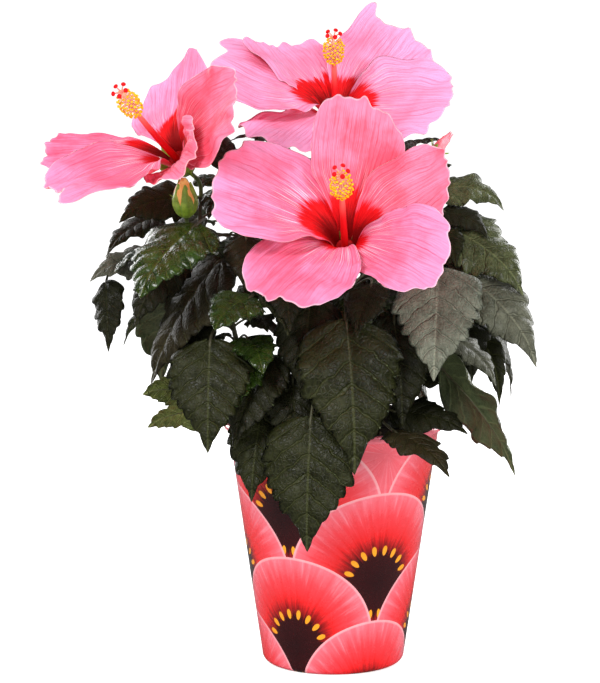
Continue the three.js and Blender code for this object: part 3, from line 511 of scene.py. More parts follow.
def frame_of(bloom):
    """The frame of a bloom, whose foot lies behind its eye on its axis."""
    way = bloom["heading"], bloom["pitch"]
    return bloom_frame(np.array(bloom["eye"], float) - EYE_HEIGHT * direction(*way), *way)


def bloom_point(axes, radius, azimuth, height):
    """The point at a radius, azimuth and height in a bloom's frame."""
    right, up, axis, foot = axes
    return (
        foot + axis * np.asarray(height)[..., None] + right * np.asarray(radius * np.cos(azimuth))[..., None]
        + up * np.asarray(radius * np.sin(azimuth))[..., None]
    )


def petal_line(lean, length, curl):
    """A petal's line, on past its tip: it starts near the axis, turns outwards over its flare, and curls
    by curl times the square of the place. Gives radius, height and angle at even steps."""
    along = np.arange(int(PETAL["steps"] * PETAL["past"]) + 1) / PETAL["steps"]
    opened = (PETAL["flare"] + lean - PETAL["leave"]) * smooth(0, PETAL["flared"], along)
    angle = np.radians(PETAL["leave"] + opened + curl * along**2)
    step = length / PETAL["steps"]
    radius = PETAL["foot"][0] + np.concatenate([[0], np.cumsum(np.sin(angle) * step)[:-1]])
    height = PETAL["foot"][1] + np.concatenate([[0], np.cumsum(np.cos(angle) * step)[:-1]])
    return along, radius, height, angle


# The finish of a petal: the depth of its margin's nicks, as a share of its length, and the height in
# millimetres of its frills, crimps, creases, those of a hanging petal, and broad and thin ribs.
FINISH = dict(nick=0.014, frill=1.6, crimp=0.6, crease=0.9, hanging=1.9, rib=0.45, thin=0.2)


def hangs(petal):
    """True for a petal on its bloom's lower side."""
    return 200 < petal[0] % 360 < 340


def petal_phase(k):
    """Where the ruffles of a bloom's petal k start."""
    return 2.1 * k + 0.7


def petal_surface(axes, petal, phase, along, across, fine):
    """Points of a petal. It follows the bloom's funnel round its axis, laps over one neighbour and under
    the other, and ruffles towards its margin. fine adds the small frills and notches of the margin."""
    azimuth, lean, length, half_width, curl, skew, peak_at, peak = petal[:8]
    rounded = np.sqrt(np.maximum(0, 1 - np.abs(across) ** 3))
    drawn = peak * np.exp(-(((across - peak_at) / PETAL["peak"]) ** 2))
    margin = mix(PETAL["margin"], 1, rounded) + skew * across + drawn
    nicks = np.sin(9 * across + phase + 2 * np.sin(4 * across + phase))
    nicks = nicks + 0.5 * np.sin(23 * across + 2 * phase)
    share = np.maximum(0, along * margin * (1 + fine * FINISH["nick"] * nicks))
    steps, radii, heights, angles = petal_line(lean, length, curl)
    place = np.minimum(share, PETAL["past"] - 0.05)
    radius, height, angle = (np.interp(place, steps, line) for line in (radii, heights, angles))
    half = half_width * (PETAL["claw"] + (1 - PETAL["claw"]) * smooth(0, PETAL["widest"], share))
    turn = math.radians(azimuth) + half * across / radius
    down = (share - 0.5) / 0.5
    out, about = np.hypot(down, across), np.arctan2(across, down)
    edge = smooth(0.3, 1, out) * smooth(0.25, 0.5, share)
    ruffle = PETAL["ruffle"] * edge * np.sin(PETAL["ruffles"] * about + phase)
    frill = FINISH["frill"] * edge**2 * np.sin(11 * about + 1.7 * phase)
    uneven = np.sin(19 * about + 2.3 * phase + 2.5 * np.sin(5 * about + phase))
    crimp = FINISH["crimp"] * smooth(0.7, 1.05, out) * uneven * smooth(0.3, 0.5, share)
    folds = np.abs(np.sin(6.5 * across + 2.2 * np.sin(3.1 * across + phase) + 0.8 * share)) ** 0.5
    crease = FINISH["hanging" if hangs(petal) else "crease"] * smooth(0.3, 0.8, share) * (folds - 0.8)
    broad = FINISH["rib"] * np.cos(2 * np.pi * 1.7 * across + 2 * phase)
    thin = FINISH["thin"] * np.cos(2 * np.pi * 5.3 * across + phase)
    ribs = smooth(0.12, 0.45, share) * (broad + thin)
    lap = PETAL["overlap"] * half * across * smooth(0.08, 0.3, share)
    lift = ruffle + lap + fine * (frill + crimp + ribs + crease)
    return bloom_point(axes, radius - lift * np.cos(angle), turn, height + lift * np.sin(angle))


# The orchid tone is painted light and the rose tone painted shade on the petals.
PETAL_TONES = ("pink", "rose", "lit_orchid")
PETAL_GRID = (84, 90)
HANGING_MARKS = 0.16  # where the marks of a hanging petal start, whose eye is shorter
THROAT = ((0, 3.4), (4.4, 4.4), (5.9, 9), (6.6, 14), (4.8, 15.5), (3.4, 12.3), (0, 12.3))


def make_petals(name, bloom):
    """The five petals of a bloom and the hollow foot that they share."""
    axes = frame_of(bloom)
    along, across = grid(np.linspace(0, 1, PETAL_GRID[0] + 1), np.linspace(-1, 1, PETAL_GRID[1] + 1))
    half = PETAL["thick"] / 2 * mix(2.2, 1, smooth(0, 0.3, along)) * (1 - 0.5 * np.abs(across))
    shapes = []
    for k, petal in enumerate(bloom["petals"]):
        upper, lower = thickened(petal_surface(axes, petal, petal_phase(k), along, across, 1), half)
        marks = mix(HANGING_MARKS if hangs(petal) else 0, 1, along)
        tones = PETAL_TONES.index(petal[8]), len(PETAL_TONES)
        shapes.append(sheet(upper, lower, np.stack([marks, across], -1), tones))
    piece(f"{name}_petals_fine", shapes, petal_faces, [f"{name}_petals"])
    piece(f"{name}_throat", [moved(lathe(THROAT, 24), axes[:3], axes[3])], [throat])


def column_curve(bloom):
    """The column's line: out of the throat, sagging a little, with its tip lifted again."""
    foot, tip, bend = COLUMN["foot"], bloom["column"], bloom["bend"]
    heights, lifts = (foot, (foot + tip) / 2, tip), (0, -bend, bend)
    axes = frame_of(bloom)
    return quadratic(*(bloom_point(axes, lift, math.pi / 2, height) for height, lift in zip(heights, lifts)))


ANTHERS = dict(count=104, first=0.77, last=0.94, reach=6.6, spread=2.2, thread=0.24, small=0.6, large=0.8)
STIGMAS = dict(count=5, start=0.985, out=4.2, ahead=3.6, pad=(1.45, 1.45, 1.1))


def make_column(name, bloom, seed):
    """The column, the threads and anthers in a cloud round its end, and five velvet pads on short arms."""
    right, up, axis, _ = frame_of(bloom)
    curve = column_curve(bloom)

    def shaft_radius(t):
        """The even taper, a third thinner at the very tip."""
        return mix(COLUMN["foot_radius"], COLUMN["tip_radius"], t) * (1 - 0.35 * smooth(0.9, 1, t))

    shapes = [limb(curve, shaft_radius, 14, 40)]
    k = np.arange(ANTHERS["count"])
    place = (k + 0.5) / ANTHERS["count"]
    turn = np.radians(k * GOLDEN_TURN)
    out = right * np.cos(turn)[:, None] + up * np.sin(turn)[:, None]
    reach = ANTHERS["reach"] * np.sqrt(1 - 0.7 * (2 * place - 1) ** 2) * mix(0.8, 1.04, chance(seed, k))
    spread = ANTHERS["spread"] * (2 * place - 1) + mix(-0.8, 0.8, chance(seed, k + 90))
    start = curve(mix(ANTHERS["first"], ANTHERS["last"], place))
    end = start + out * reach[:, None] + axis * spread[:, None]
    for a, b in zip(start, end):
        thread_curve = quadratic(a, (a + b) / 2 + axis * 0.8, b)
        shapes.append(limb(thread_curve, taper(ANTHERS["thread"], ANTHERS["thread"]), 4, 4, tones=1))
    draws = ((7, 1), (8, 1), (9, 1.25))
    sizes = [mix(ANTHERS["small"], ANTHERS["large"], chance(seed, k + n)) * stretch for n, stretch in draws]
    lean = unit(np.cross(out, axis) + 0.5 * out * (chance(seed, k + 730) - 0.5)[:, None])
    shapes.append(beads(end, lean, np.stack(sizes, -1), tones=2, sides=7, rings=4))
    tips, arms = [], []
    for n in range(STIGMAS["count"]):
        angle = 2 * math.pi * n / STIGMAS["count"]
        outwards = right * math.cos(angle) + up * math.sin(angle)
        a = curve(STIGMAS["start"])
        b = a + outwards * STIGMAS["out"] + axis * STIGMAS["ahead"]
        shapes.append(limb(quadratic(a, a + axis * 2.4 + outwards * 0.9, b), taper(0.5, 0.4), 8, 8, tones=3))
        tips.append(b)
        arms.append(unit(outwards + axis))
    pads = np.tile(STIGMAS["pad"], (STIGMAS["count"], 1))
    shapes.append(beads(np.array(tips), np.array(arms), pads, 4, 14, 9))
    skins = [column_skin, thread, pollen, style, velvet]
    piece(f"{name}_column_fine", shapes, skins, [f"{name}_column"])


def stalk_curve(carrier, leaves, foot, axis):
    """The stalk from a place on its shoot to a foot that it enters along an axis."""
    start = shoot_curves[carrier](leaves)
    lead = 0.4 * np.linalg.norm(foot - start)
    return cubic(start, start + tangent(shoot_curves[carrier], leaves) * lead, foot - axis * lead, foot)


def bracts(axes, count, first, foot, length, width, flare, lift):
    """A ring of narrow pointed blades in a bloom's frame, from the azimuth first on. They leave the foot at
    a radius and height and arch out by flare; their halves rise by lift."""
    along, across = grid(np.linspace(0, 1, 15), np.linspace(-1, 1, 7))
    lean = flare * along**1.4
    half = width / 2 * np.clip(1.9 * (along + 0.04) ** 0.45 * (1.001 - along) ** 0.8, 0.03, 1.2)
    radius = foot[0] + length * along * np.sin(lean) + lift * half * np.abs(across)
    height = foot[1] + length * along * np.cos(lean)
    made = []
    for k in range(count):
        turn = math.radians(360 / count * k + first) + half * across / np.maximum(radius, 2)
        upper, lower = thickened(bloom_point(axes, radius, turn, height), 0.28 * (1 - 0.6 * np.abs(across)))
        made.append(dict(sheet(upper, lower, np.stack([along, across], -1), (0, 0)), cells=None))
    return made


CALYX_INSIDE = ((0, 3), (4.8, 3.6), (6.4, 8), (8.2, 13), (10.4, 17))
CALYX_OUTSIDE = ((0, 1.8), (3.6, 2.1), (5.8, 3.4), (7.3, 7), (9.1, 12), (11.2, 17))


def make_calyx(name, bloom):
    """The stalk, the cup of five pointed sepals, and the ring of narrow bracts under it."""
    axes = frame_of(bloom)
    foot, axis = axes[3], axes[2]

    def swollen(t):
        """The stalk's radius: wider under the calyx, with a low knot halfway."""
        knot = 0.2 * np.exp(-(((t - 0.55) / 0.03) ** 2))
        return STALK["radius"] * (0.9 + 0.5 * smooth(0.9, 1, t) + knot)

    curve = stalk_curve(bloom["carrier"], STALK["leaves"], foot + axis * 2.6, axis)
    stalk = limb(curve, swollen, 14, 50, bark_relief(5, 3, 0.03), 1)

    def pointed(radius, height, turn):
        """The rim drawn out to five points by a power of the squared cosine, over low ribs."""
        rim = smooth(9, 17, height)
        point = np.maximum(0, np.cos(5 * turn / 2) ** 2) ** 1.5
        ribs = 1 + 0.02 * np.cos(15 * turn)
        return radius * ribs * (1 + 0.16 * point * rim), height + 5.2 * (point - 0.25) * rim

    cup = moved(lathe(CALYX_OUTSIDE + CALYX_INSIDE[::-1], 60, pointed), axes[:3], foot)
    ring = bracts(axes, 7, 12, (2.6, 1.4), 11, 2.6, 1.25, 0.2)
    piece(f"{name}_calyx_fine", [cup, stalk, *ring], [sepal, green_stalk], [f"{name}_calyx"])


# The outline of a closed bud: its height, as a share of its length, and the share of its radius there.
EGG = ((-0.03, 0.03, 0.16, 0.34, 0.5, 0.68, 0.82, 0.94), (0.25, 0.55, 0.86, 1, 0.98, 0.84, 0.64, 0.4))


def make_bud(name, bud):
    """A bud: a cup of sepals that close towards their points, with the rolled petals standing out."""
    foot = np.array(bud["foot"], float)
    axes = bloom_frame(foot, bud["heading"], bud["pitch"])
    axis, length, radius, cover = axes[2], bud["length"], bud["radius"], bud["cover"]

    def stalk_radius(t):
        """The even radius, wider under the bud."""
        return STALK["radius"] * (0.85 + 0.5 * smooth(0.92, 1, t))

    curve = stalk_curve(bud["carrier"], bud["leaves"], foot + axis, axis)
    stalk = limb(curve, stalk_radius, 14, 40, bark_relief(8, 3, 0.03), 1)
    skin = [(radius * np.interp(h, *EGG), h * length) for h in np.linspace(0, cover, 16)]
    inside = [(max(r - 0.7, 0.2), h) for r, h in skin[::-1]]

    def pointed(r, h, turn):
        """The rim drawn out to five points by a power of the cosine, with a seam between them."""
        rim = smooth(0.45 * cover * length, cover * length, h)
        seam = np.cos(5 * turn / 2)
        point = np.abs(seam) ** 0.8
        ribs = 1 - 0.09 * np.exp(-((seam / 0.16) ** 2)) + 0.03 * np.cos(15 * turn)
        return r * ribs * (1 - 0.1 * rim * point), h + 0.3 * length * (point - 0.75) * rim

    cup = lathe([(0, -0.04 * length), *skin, *inside, (0, 0.02 * length)], 60, pointed)

    def rolled(r, h, turn):
        """Five folds that wind up the bud, and frills at its tip."""
        share = h / length
        fold = 1 + 0.13 * np.sin(5 * turn + 9 * share) * smooth(0.2, 0.6, share)
        frill = 1 + bud["frill"] * 0.5 * smooth(0.75, 1, share) * (1 + 0.4 * np.sin(9 * turn))
        return r * fold * frill, h + bud["frill"] * 1.6 * np.sin(7 * turn + 1) * smooth(0.8, 1, share)

    heights = np.linspace(0.06, 0.99, 26)
    radii = 0.86 * radius * np.interp(heights, *EGG) * (1 - 0.3 * smooth(0.8, 1, heights))
    tip = (0, length * mix(1.0, 0.9, bud["frill"]))
    roll = lathe([(0, 0.05 * length), *zip(radii, heights * length), tip], 50, rolled, 2)
    cup, roll = (moved(made, axes[:3], foot) for made in (cup, roll))
    ring = bracts(axes, 6, 0, (1.6, 0.4), 0.62 * length, 2.0, 0.5, 0.1)
    skins = [sepal, green_stalk, bud_tips[bud["tone"]]]
    piece(f"{name}_fine", [cup, stalk, roll, *ring], skins, [name])


# ---------------------------------------------------------------- leaves


def rib_frame(leaf, along):
    """A leaf's frame along its rib, which bends evenly by the droop: the point, and the directions along,
    across and above, the last two turned about the rib by the roll."""
    along = np.asarray(along, float)
    start, bend = math.radians(leaf["pitch"] + leaf["droop"] / 2), math.radians(leaf["droop"])
    now = start - bend * along
    level = leaf["length"] * (math.sin(start) - np.sin(now)) / bend
    rise = leaf["length"] * (np.cos(now) - math.cos(start)) / bend
    ahead = direction(leaf["heading"], 0)
    left = np.array([-ahead[1], ahead[0], 0])
    up = np.array([0, 0, 1.0])
    point = leaf["foot"] + ahead * level[..., None] + up * rise[..., None]
    along_rib = ahead * np.cos(now)[..., None] + up * np.sin(now)[..., None]
    above = up * np.cos(now)[..., None] - ahead * np.sin(now)[..., None]
    c, s = math.cos(math.radians(leaf["roll"])), math.sin(math.radians(leaf["roll"]))
    return point, along_rib, left * c + above * s, above * c - left * s


def half_width(leaf, along):
    """Half the blade's width: round at the foot, widest at a third, and drawn out to a point."""
    widest, power = LEAF["widest"], LEAF["foot"]
    foot = np.maximum(0, along / widest) ** power
    tip = np.maximum(0, (1 - along) / (1 - widest)) ** (power * (1 - widest) / widest)
    return leaf["length"] * leaf.get("breadth", 1) * LEAF["half"] * foot * tip


def leaf_points(leaf, along, across, half=None):
    """Points of a blade: its halves rise from the rib and arch down again in waves."""
    point, _, side, above = rib_frame(leaf, along)
    plain = half_width(leaf, along)
    half = plain if half is None else half
    reach = np.abs(across)
    wave = LEAF["wave"] * reach * np.sin(2 * np.pi * LEAF["waves"] * along + leaf["phase"] * np.sign(across))
    lift = plain * (LEAF["fold"] * reach - LEAF["arch"] * reach**2 + wave)
    return point + side * (half * across)[..., None] + above * lift[..., None]


def node_for(shoot, foot):
    """The place on a shoot that is nearest to a leaf's foot, of thirteen from its middle to its tip."""
    places = mix(0.15, 0.92, np.arange(13) / 12)
    return shoot(places[np.argmin(np.linalg.norm(shoot(places) - foot, axis=1))])


def petiole_curve(shoot, leaf):
    """A leaf's stalk: from its node it rises a little, and runs on under the blade's rib."""
    end = rib_frame(leaf, PETIOLE["sunk"])[0]
    start = leaf["node"] if "node" in leaf else node_for(shoot, leaf["foot"])
    middle = leaf["foot"] - rib_frame(leaf, 0)[1] * 0.3 * np.linalg.norm(end - start)
    return quadratic(start, middle + [0, 0, PETIOLE["rise"]], end)


# ---------------------------------------------------------------- where leaves may go


class Space:
    """What already stands there, as small balls with a radius, an owner and a kind."""

    def __init__(self):
        """Nothing stands there yet."""
        self.points, self.radii = np.zeros((0, 3)), np.zeros(0)
        self.owners, self.kinds = np.zeros(0, int), np.zeros(0, int)
        self.names = []

    def number(self, owner):
        """The number of an owner, and a new one for a new owner."""
        if owner not in self.names:
            self.names.append(owner)
        return self.names.index(owner)

    def take(self, points, radius, owner, kind):
        """Balls of one radius at some points."""
        points = np.asarray(points).reshape(-1, 3)
        self.points = np.concatenate([self.points, points])
        self.radii = np.concatenate([self.radii, np.full(len(points), float(radius))])
        self.owners = np.concatenate([self.owners, np.full(len(points), self.number(owner))])
        self.kinds = np.concatenate([self.kinds, np.full(len(points), KINDS.index(kind))])

    def take_line(self, curve, count, radius, owner, kind):
        """Balls at even steps along a curve."""
        self.take(curve(np.arange(count) / (count - 1)), radius, owner, kind)

    def touches(self, points, reach):
        """True if a point lies within each ball's reach. Balls with no reach are left out."""
        low, high = points.min(0) - 14, points.max(0) + 14
        near = (reach > 0) & (self.points > low).all(1) & (self.points < high).all(1)
        apart = np.linalg.norm(points[:, None] - self.points[None, near], axis=2)
        return bool((apart < reach[near]).any())

    def blocked(self, blade, stalk, owner, ease):
        """True if a leaf would touch the pot or something else. ease shrinks the room that it keeps."""
        rim = POT["top"] + POT["lip"] + ROOM["pot"]
        tested = np.concatenate([blade, stalk[2:]])
        low = tested[:, 2] < POT["height"] + ROOM["pot"]
        if (low & (np.hypot(tested[:, 0], tested[:, 1]) < rim)).any():
            return True
        own = self.owners == self.number(owner)
        room = [np.array(ROOM[key], float)[self.kinds] for key in ("blade", "stalk", "own")]
        for_blade = self.radii + ease * np.where(own, room[2], room[0])
        for_stalk = np.where(own, 0, self.radii + ease * room[1])
        return self.touches(blade, for_blade) or self.touches(stalk[2:], for_stalk)


def in_crown(points):
    """True if all points keep inside the crown and out of the open gap beside the stems."""
    in_gap = ((points > GAP["low"]) & (points < GAP["high"])).all(1)
    x, y, z = CROWN["centre"]
    level = np.hypot(points[:, 0] - x, points[:, 1] - y) / CROWN["reach"]
    height = np.abs(points[:, 2] - z) / CROWN["half_height"]
    return bool((~in_gap & (level ** CROWN["squareness"] + height ** CROWN["squareness"] < 1)).all())


def coarse(rows):
    """A coarse grid of places along and across a blade or petal, a little short of its border."""
    return grid(0.05 + 0.95 * np.arange(rows) / (rows - 1), 0.92 * (np.arange(9) / 4 - 1))


BLADE_TEST = coarse(14)
PETAL_TEST = coarse(10)


def place_leaf(space, kept, name, leaf, by_rule, ease=1.0):
    """Tries a leaf as it is and then turned a little, and keeps the first that is clear."""
    for turn, tilt, share in TRIES:
        heading, pitch = leaf["heading"] + turn, leaf["pitch"] + tilt
        tried = dict(leaf, heading=heading, pitch=pitch, length=leaf["length"] * share)
        points = leaf_points(tried, *BLADE_TEST).reshape(-1, 3)
        stalk = petiole_curve(shoot_curves[name], tried)(np.arange(7) / 6)
        if by_rule and not in_crown(points):
            continue
        if space.blocked(points, stalk, name, ease):
            continue
        space.take(points, 0, name, "blade")
        space.take(stalk, PETIOLE["radius"], name, "stalk")
        kept[name].append(tried)
        return


# The pale grey and silver tones are painted sheen on leaves whose own colour is dark green, and the moss tone
# is painted light; the other tones are the leaves' own greens and browns.
TONES = ("dark", "olive", "moss", "brown", "grey", "silver", "bright", "fresh")
DEALT = ("dark", "olive", "olive", "brown", "dark", "olive", "grey", "dark", "olive", "bright")


def fill_mass(space, kept, name, mass):
    """Leaves by rule: they climb the shoot in a spiral, longest below, and hang more the lower they are."""
    seed, filled = mass["seed"], mass["filled"]
    for k in range(filled):
        up = k / (filled - 1) if filled > 1 else 0.5
        heading = seed * 40 + k * GOLDEN_TURN + 16 * (chance(seed, k) - 0.5)
        node = shoot_curves[name](mix(0.2, 0.97, up))
        leaf = dict(
            foot=node + direction(heading, 14) * 30 * mix(1.1, 0.7, up),
            heading=heading,
            pitch=mix(-62, -8, up * up) + 14 * (chance(seed, k + 100) - 0.5),
            droop=36 + 24 * chance(seed, k + 150),
            length=mix(84, 46, up) + 12 * (chance(seed, k + 50) - 0.5),
            roll=30 * (chance(seed, k + 200) - 0.5),
            phase=6 * chance(seed, k + 250),
            tone=DEALT[int(10 * chance(seed, k + 400))],
        )
        place_leaf(space, kept, name, leaf, True)


FINE_LEAVES = 16


def fill_finely(space, kept, name, mass):
    """The same spiral again with small leaves, which keep less room between the others."""
    seed = mass["seed"]
    for k in range(FINE_LEAVES):
        up = k / (FINE_LEAVES - 1)
        heading = seed * 40 + 61 + k * GOLDEN_TURN + 30 * (chance(seed, k + 500) - 0.5)
        node = shoot_curves[name](mix(0.08, 0.99, up))
        leaf = dict(
            foot=node + direction(heading, 20) * mix(22, 9, up) * mix(0.8, 1.3, chance(seed, k + 520)),
            node=node,
            heading=heading,
            pitch=mix(-50, 24, up * up) + 24 * (chance(seed, k + 540) - 0.5),
            droop=30 + 30 * chance(seed, k + 560),
            length=mix(52, 22, up) + 10 * (chance(seed, k + 580) - 0.5),
            roll=40 * (chance(seed, k + 600) - 0.5),
            phase=6 * chance(seed, k + 620),
            tone="bright" if up > 0.8 else DEALT[int(10 * chance(seed, k + 640))],
        )
        place_leaf(space, kept, name, leaf, True, 0.55)


CALYX_BALLS = ((6, 9), (15, 10))  # the height and radius of the balls that stand for a calyx
BUD_BALLS = (0.3, 0.7)  # their heights in a bud, as shares of its length
SHOWN = ("heading", "pitch", "droop", "length", "roll", "breadth", "tone")  # what a shown leaf gives


def grow_leaves():
    """All leaves, mass by mass: the shown ones, those of the rule, and the finer ones between."""
    space = Space()
    space.take_line(trunk_curve, 17, TRUNK["foot_radius"], "trunk", "limb")
    for name, curve in bough_curves.items():
        space.take_line(curve, 15, BOUGH["foot"], name, "limb")
    for name, curve in shoot_curves.items():
        space.take_line(curve, 13, BOUGH["tip"], name, "shoot")
    for name, bloom in BLOOMS.items():
        axes = frame_of(bloom)
        for k, petal in enumerate(bloom["petals"]):
            space.take(petal_surface(axes, petal, petal_phase(k), *PETAL_TEST, 0), 1, name, "petal")
        stalk = stalk_curve(bloom["carrier"], STALK["leaves"], axes[3], axes[2])
        space.take_line(stalk, 9, STALK["radius"], name, "limb")
        for height, radius in CALYX_BALLS:
            space.take(bloom_point(axes, 0, 0, height), radius, name, "limb")
    for name, bud in BUDS.items():
        axes = bloom_frame(np.array(bud["foot"], float), bud["heading"], bud["pitch"])
        stalk = stalk_curve(bud["carrier"], bud["leaves"], axes[3], axes[2])
        space.take_line(stalk, 9, STALK["radius"], name, "limb")
        for share in BUD_BALLS:
            space.take(bloom_point(axes, 0, 0, share * bud["length"]), bud["radius"], name, "limb")
    kept = {name: [] for name in MASSES}
    for name, mass in MASSES.items():
        for k, (x, y, z, *values) in enumerate(mass["shown"]):
            leaf = dict(zip(SHOWN, values), foot=np.array([x, y, z], float))
            leaf["phase"] = 6 * chance(mass["seed"], k + 300)
            place_leaf(space, kept, name, leaf, False)
    for name, mass in MASSES.items():
        fill_mass(space, kept, name, mass)
    for name, mass in MASSES.items():
        fill_finely(space, kept, name, mass)
    return kept


LEAF_GRID = (66, 18)
SMALL_LEAF_GRID = (44, 12)
SMALL_LEAF = 44  # the length under which a leaf gets the smaller grid
TEETH = ((40, 6), (66, 8), (math.inf, 9))  # leaves under each length have so many teeth on each side
WET_TONES = ("bright", "fresh")
VEIN_LEAN = 0.75  # how steeply the side veins leave the rib, as rib length for each length across
VEIN_STEP = 0.15  # from one side vein to the next, of the leaf's length
FAN_STEP = 0.42  # between the veins that fan out at the leaf's foot, in radians


def outline(leaf, along, side):
    """Half the width of a real blade: fuller shoulders, a drawn-out or a blunt tip, and uneven margins."""
    shoulders = 0.1 * np.exp(-(((along - 0.1) / 0.09) ** 2))
    drawn_out = -0.24 * np.exp(-(((along - 0.9) / 0.08) ** 2))
    tip = 0.45 * smooth(0.6, 0.95, along) if leaf["tone"] in WET_TONES else drawn_out
    uneven = 0.035 * np.sin(2 * np.pi * 1.7 * along + leaf["phase"] + 2.1 * side)
    return half_width(leaf, along) * (1 + shoulders + tip + uneven)


# A tooth: how far it stands out round its middle height, in half widths, how far it points ahead, in leaf
# lengths, and the share of it that its long back takes up.
TOOTH = dict(out=0.12, middle=0.55, ahead=0.022, back=0.72)

# A blade's relief in leaf lengths: its bulges, those of wet tones, the furrow along its rib and the hang of
# its tip. The ripple of its margin is in half widths, and at most so many millimetres.
RELIEF = dict(bulge=0.018, wet=0.026, furrow=0.007, hang=0.05, ripple=0.09, highest=1.1)


def leaf_teeth(leaf, row, side):
    """How far each half's rounded teeth stand out, from 0. They lean towards the tip and differ in size."""
    teeth = next(number for length, number in TEETH if leaf["length"] < length)
    count = teeth * row + 0.3 * np.sin(6 * row + leaf["phase"]) + 0.45 * side
    tooth, back = count % 1, TOOTH["back"]
    size = mix(0.5, 1.4, chance(3 * leaf["phase"] + 5 * side, np.floor(count)))
    rising = np.sin(np.pi / 2 * np.minimum(tooth / back, 1)) ** 0.8
    return size * np.where(tooth < back, rising, np.cos(np.pi / 2 * (tooth - back) / (1 - back)))


def leaf_lift(leaf, along, across, plain, side):
    """How far a blade stands over its plain surface. Between the veins it bulges by a power of
    |sin(pi phase)|, where the phase counts side veins; it has a furrow along the rib and a rippled margin."""
    length = leaf["length"]
    y = np.abs(across) * plain / length
    beyond = along - VEIN_LEAN * y
    fan = (math.atan(1 / VEIN_LEAN) - np.arctan2(y, along)) / FAN_STEP
    phase = np.where(beyond > 0, beyond / VEIN_STEP, fan)
    bulge = np.abs(np.sin(np.pi * phase)) ** 0.7 * smooth(0, 0.05, y)
    bulge = bulge * (1 - 0.6 * smooth(0.7, 1, np.abs(across)))
    pucker = RELIEF["wet" if leaf["tone"] in WET_TONES else "bulge"]
    furrow = RELIEF["furrow"] * (np.exp(-((y / 0.014) ** 2)) * (1 - 0.7 * along))
    waving = np.sin(2 * np.pi * 4.3 * along + leaf["phase"] * (1 + 2 * side))
    ripple = min(RELIEF["ripple"], RELIEF["highest"] / plain.max()) * plain * np.abs(across) ** 3 * waving
    return length * (pucker * bulge - furrow) + ripple


def leaf_shape(leaf):
    """A toothed blade with a tip that hangs a little."""
    length = leaf["length"]
    rows, columns = SMALL_LEAF_GRID if length < SMALL_LEAF else LEAF_GRID
    row, across = grid(np.linspace(0, 1, rows + 1), np.linspace(-1, 1, columns + 1))
    along, side = mix(0.012, 0.996, row), (across > 0) * 1.0
    plain = outline(leaf, along, side)
    notch = leaf_teeth(leaf, row, side)
    edge = smooth(0.5, 1, np.abs(across)) * smooth(0.16, 0.34, along) * (1 - 0.6 * smooth(0.86, 1, along))
    half = plain * (1 + TOOTH["out"] * (notch - TOOTH["middle"]) * edge)
    _, ahead, _, above = rib_frame(leaf, along)
    forward = TOOTH["ahead"] * length * notch * edge
    middle = leaf_points(leaf, along, across, half) + ahead * forward[..., None]
    hang = RELIEF["hang"] * length * smooth(0.72, 1, along) ** 2
    lift = leaf_lift(leaf, along, across, plain, side)
    middle = middle + above * lift[..., None] - [0, 0, 1] * hang[..., None]
    upper, lower = thickened(middle, LEAF["thick"] / 2 * (1 - 0.4 * np.abs(across)))
    face = TONES.index(leaf["tone"])
    tones = face, face if leaf["tone"] == "fresh" else len(TONES)
    return sheet(upper, lower, np.stack([along, across * half / length], axis=-1), tones)


def leaf_stalk(name, leaf):
    """A leaf's stalk, swollen at both ends, and the rib that carries on under the blade to its tip."""
    slim = min(1, 0.55 + leaf["length"] / 160)

    def thick(t):
        """Swollen by an exponential at the node, and a little again before it thins out under the rib."""
        ends = 0.35 * np.exp(-t * 16) + 0.2 * smooth(0.85, 1, t) - 0.75 * smooth(0.97, 1, t)
        return slim * PETIOLE["radius"] * (1 + ends)

    def under(t):
        """The rib's line, just under the blade."""
        point, _, _, above = rib_frame(leaf, mix(0.0, 0.9, t))
        return point - above * mix(0.75, 0.35, np.asarray(t))[..., None] * slim

    def rib_radius(t):
        """The rib's even taper from the leaf's foot on."""
        return slim * mix(0.75, 0.12, t) * smooth(-0.02, 0.04, t)

    return [limb(petiole_curve(shoot_curves[name], leaf), thick, 8, 16), limb(under, rib_radius, 6, 20)]


def make_leaves(kept):
    """One piece of blades for each mass, and one with all the shoots, leaf stalks and ribs."""
    stalks = []
    for k, (name, leaves) in enumerate(kept.items()):
        piece(f"{name}_blades", [leaf_shape(leaf) for leaf in leaves], leaf_faces, [name], "blade")
        relief = bark_relief(k + 20, 3, 0.05)
        stalks.append(limb(shoot_curves[name], taper(BOUGH["tip"], SHOOT["tip"]), 14, 50, relief))
        for leaf in leaves:
            stalks.extend(leaf_stalk(name, leaf))
    piece("shoots_and_stalks", stalks, [young_bark])


# ---------------------------------------------------------------- pot and soil


POT_SIDES = 160


def pot_radius(height):
    """The radius of the pot's wall outside."""
    return mix(POT["foot"], POT["top"], height / POT["height"])


def pot_inside(height):
    """The radius of the pot's wall inside, which is thicker at the foot."""
    return mix(pot_radius(POT["floor"]) - 4, pot_radius(POT["height"]) - POT["wall"], height / POT["height"])


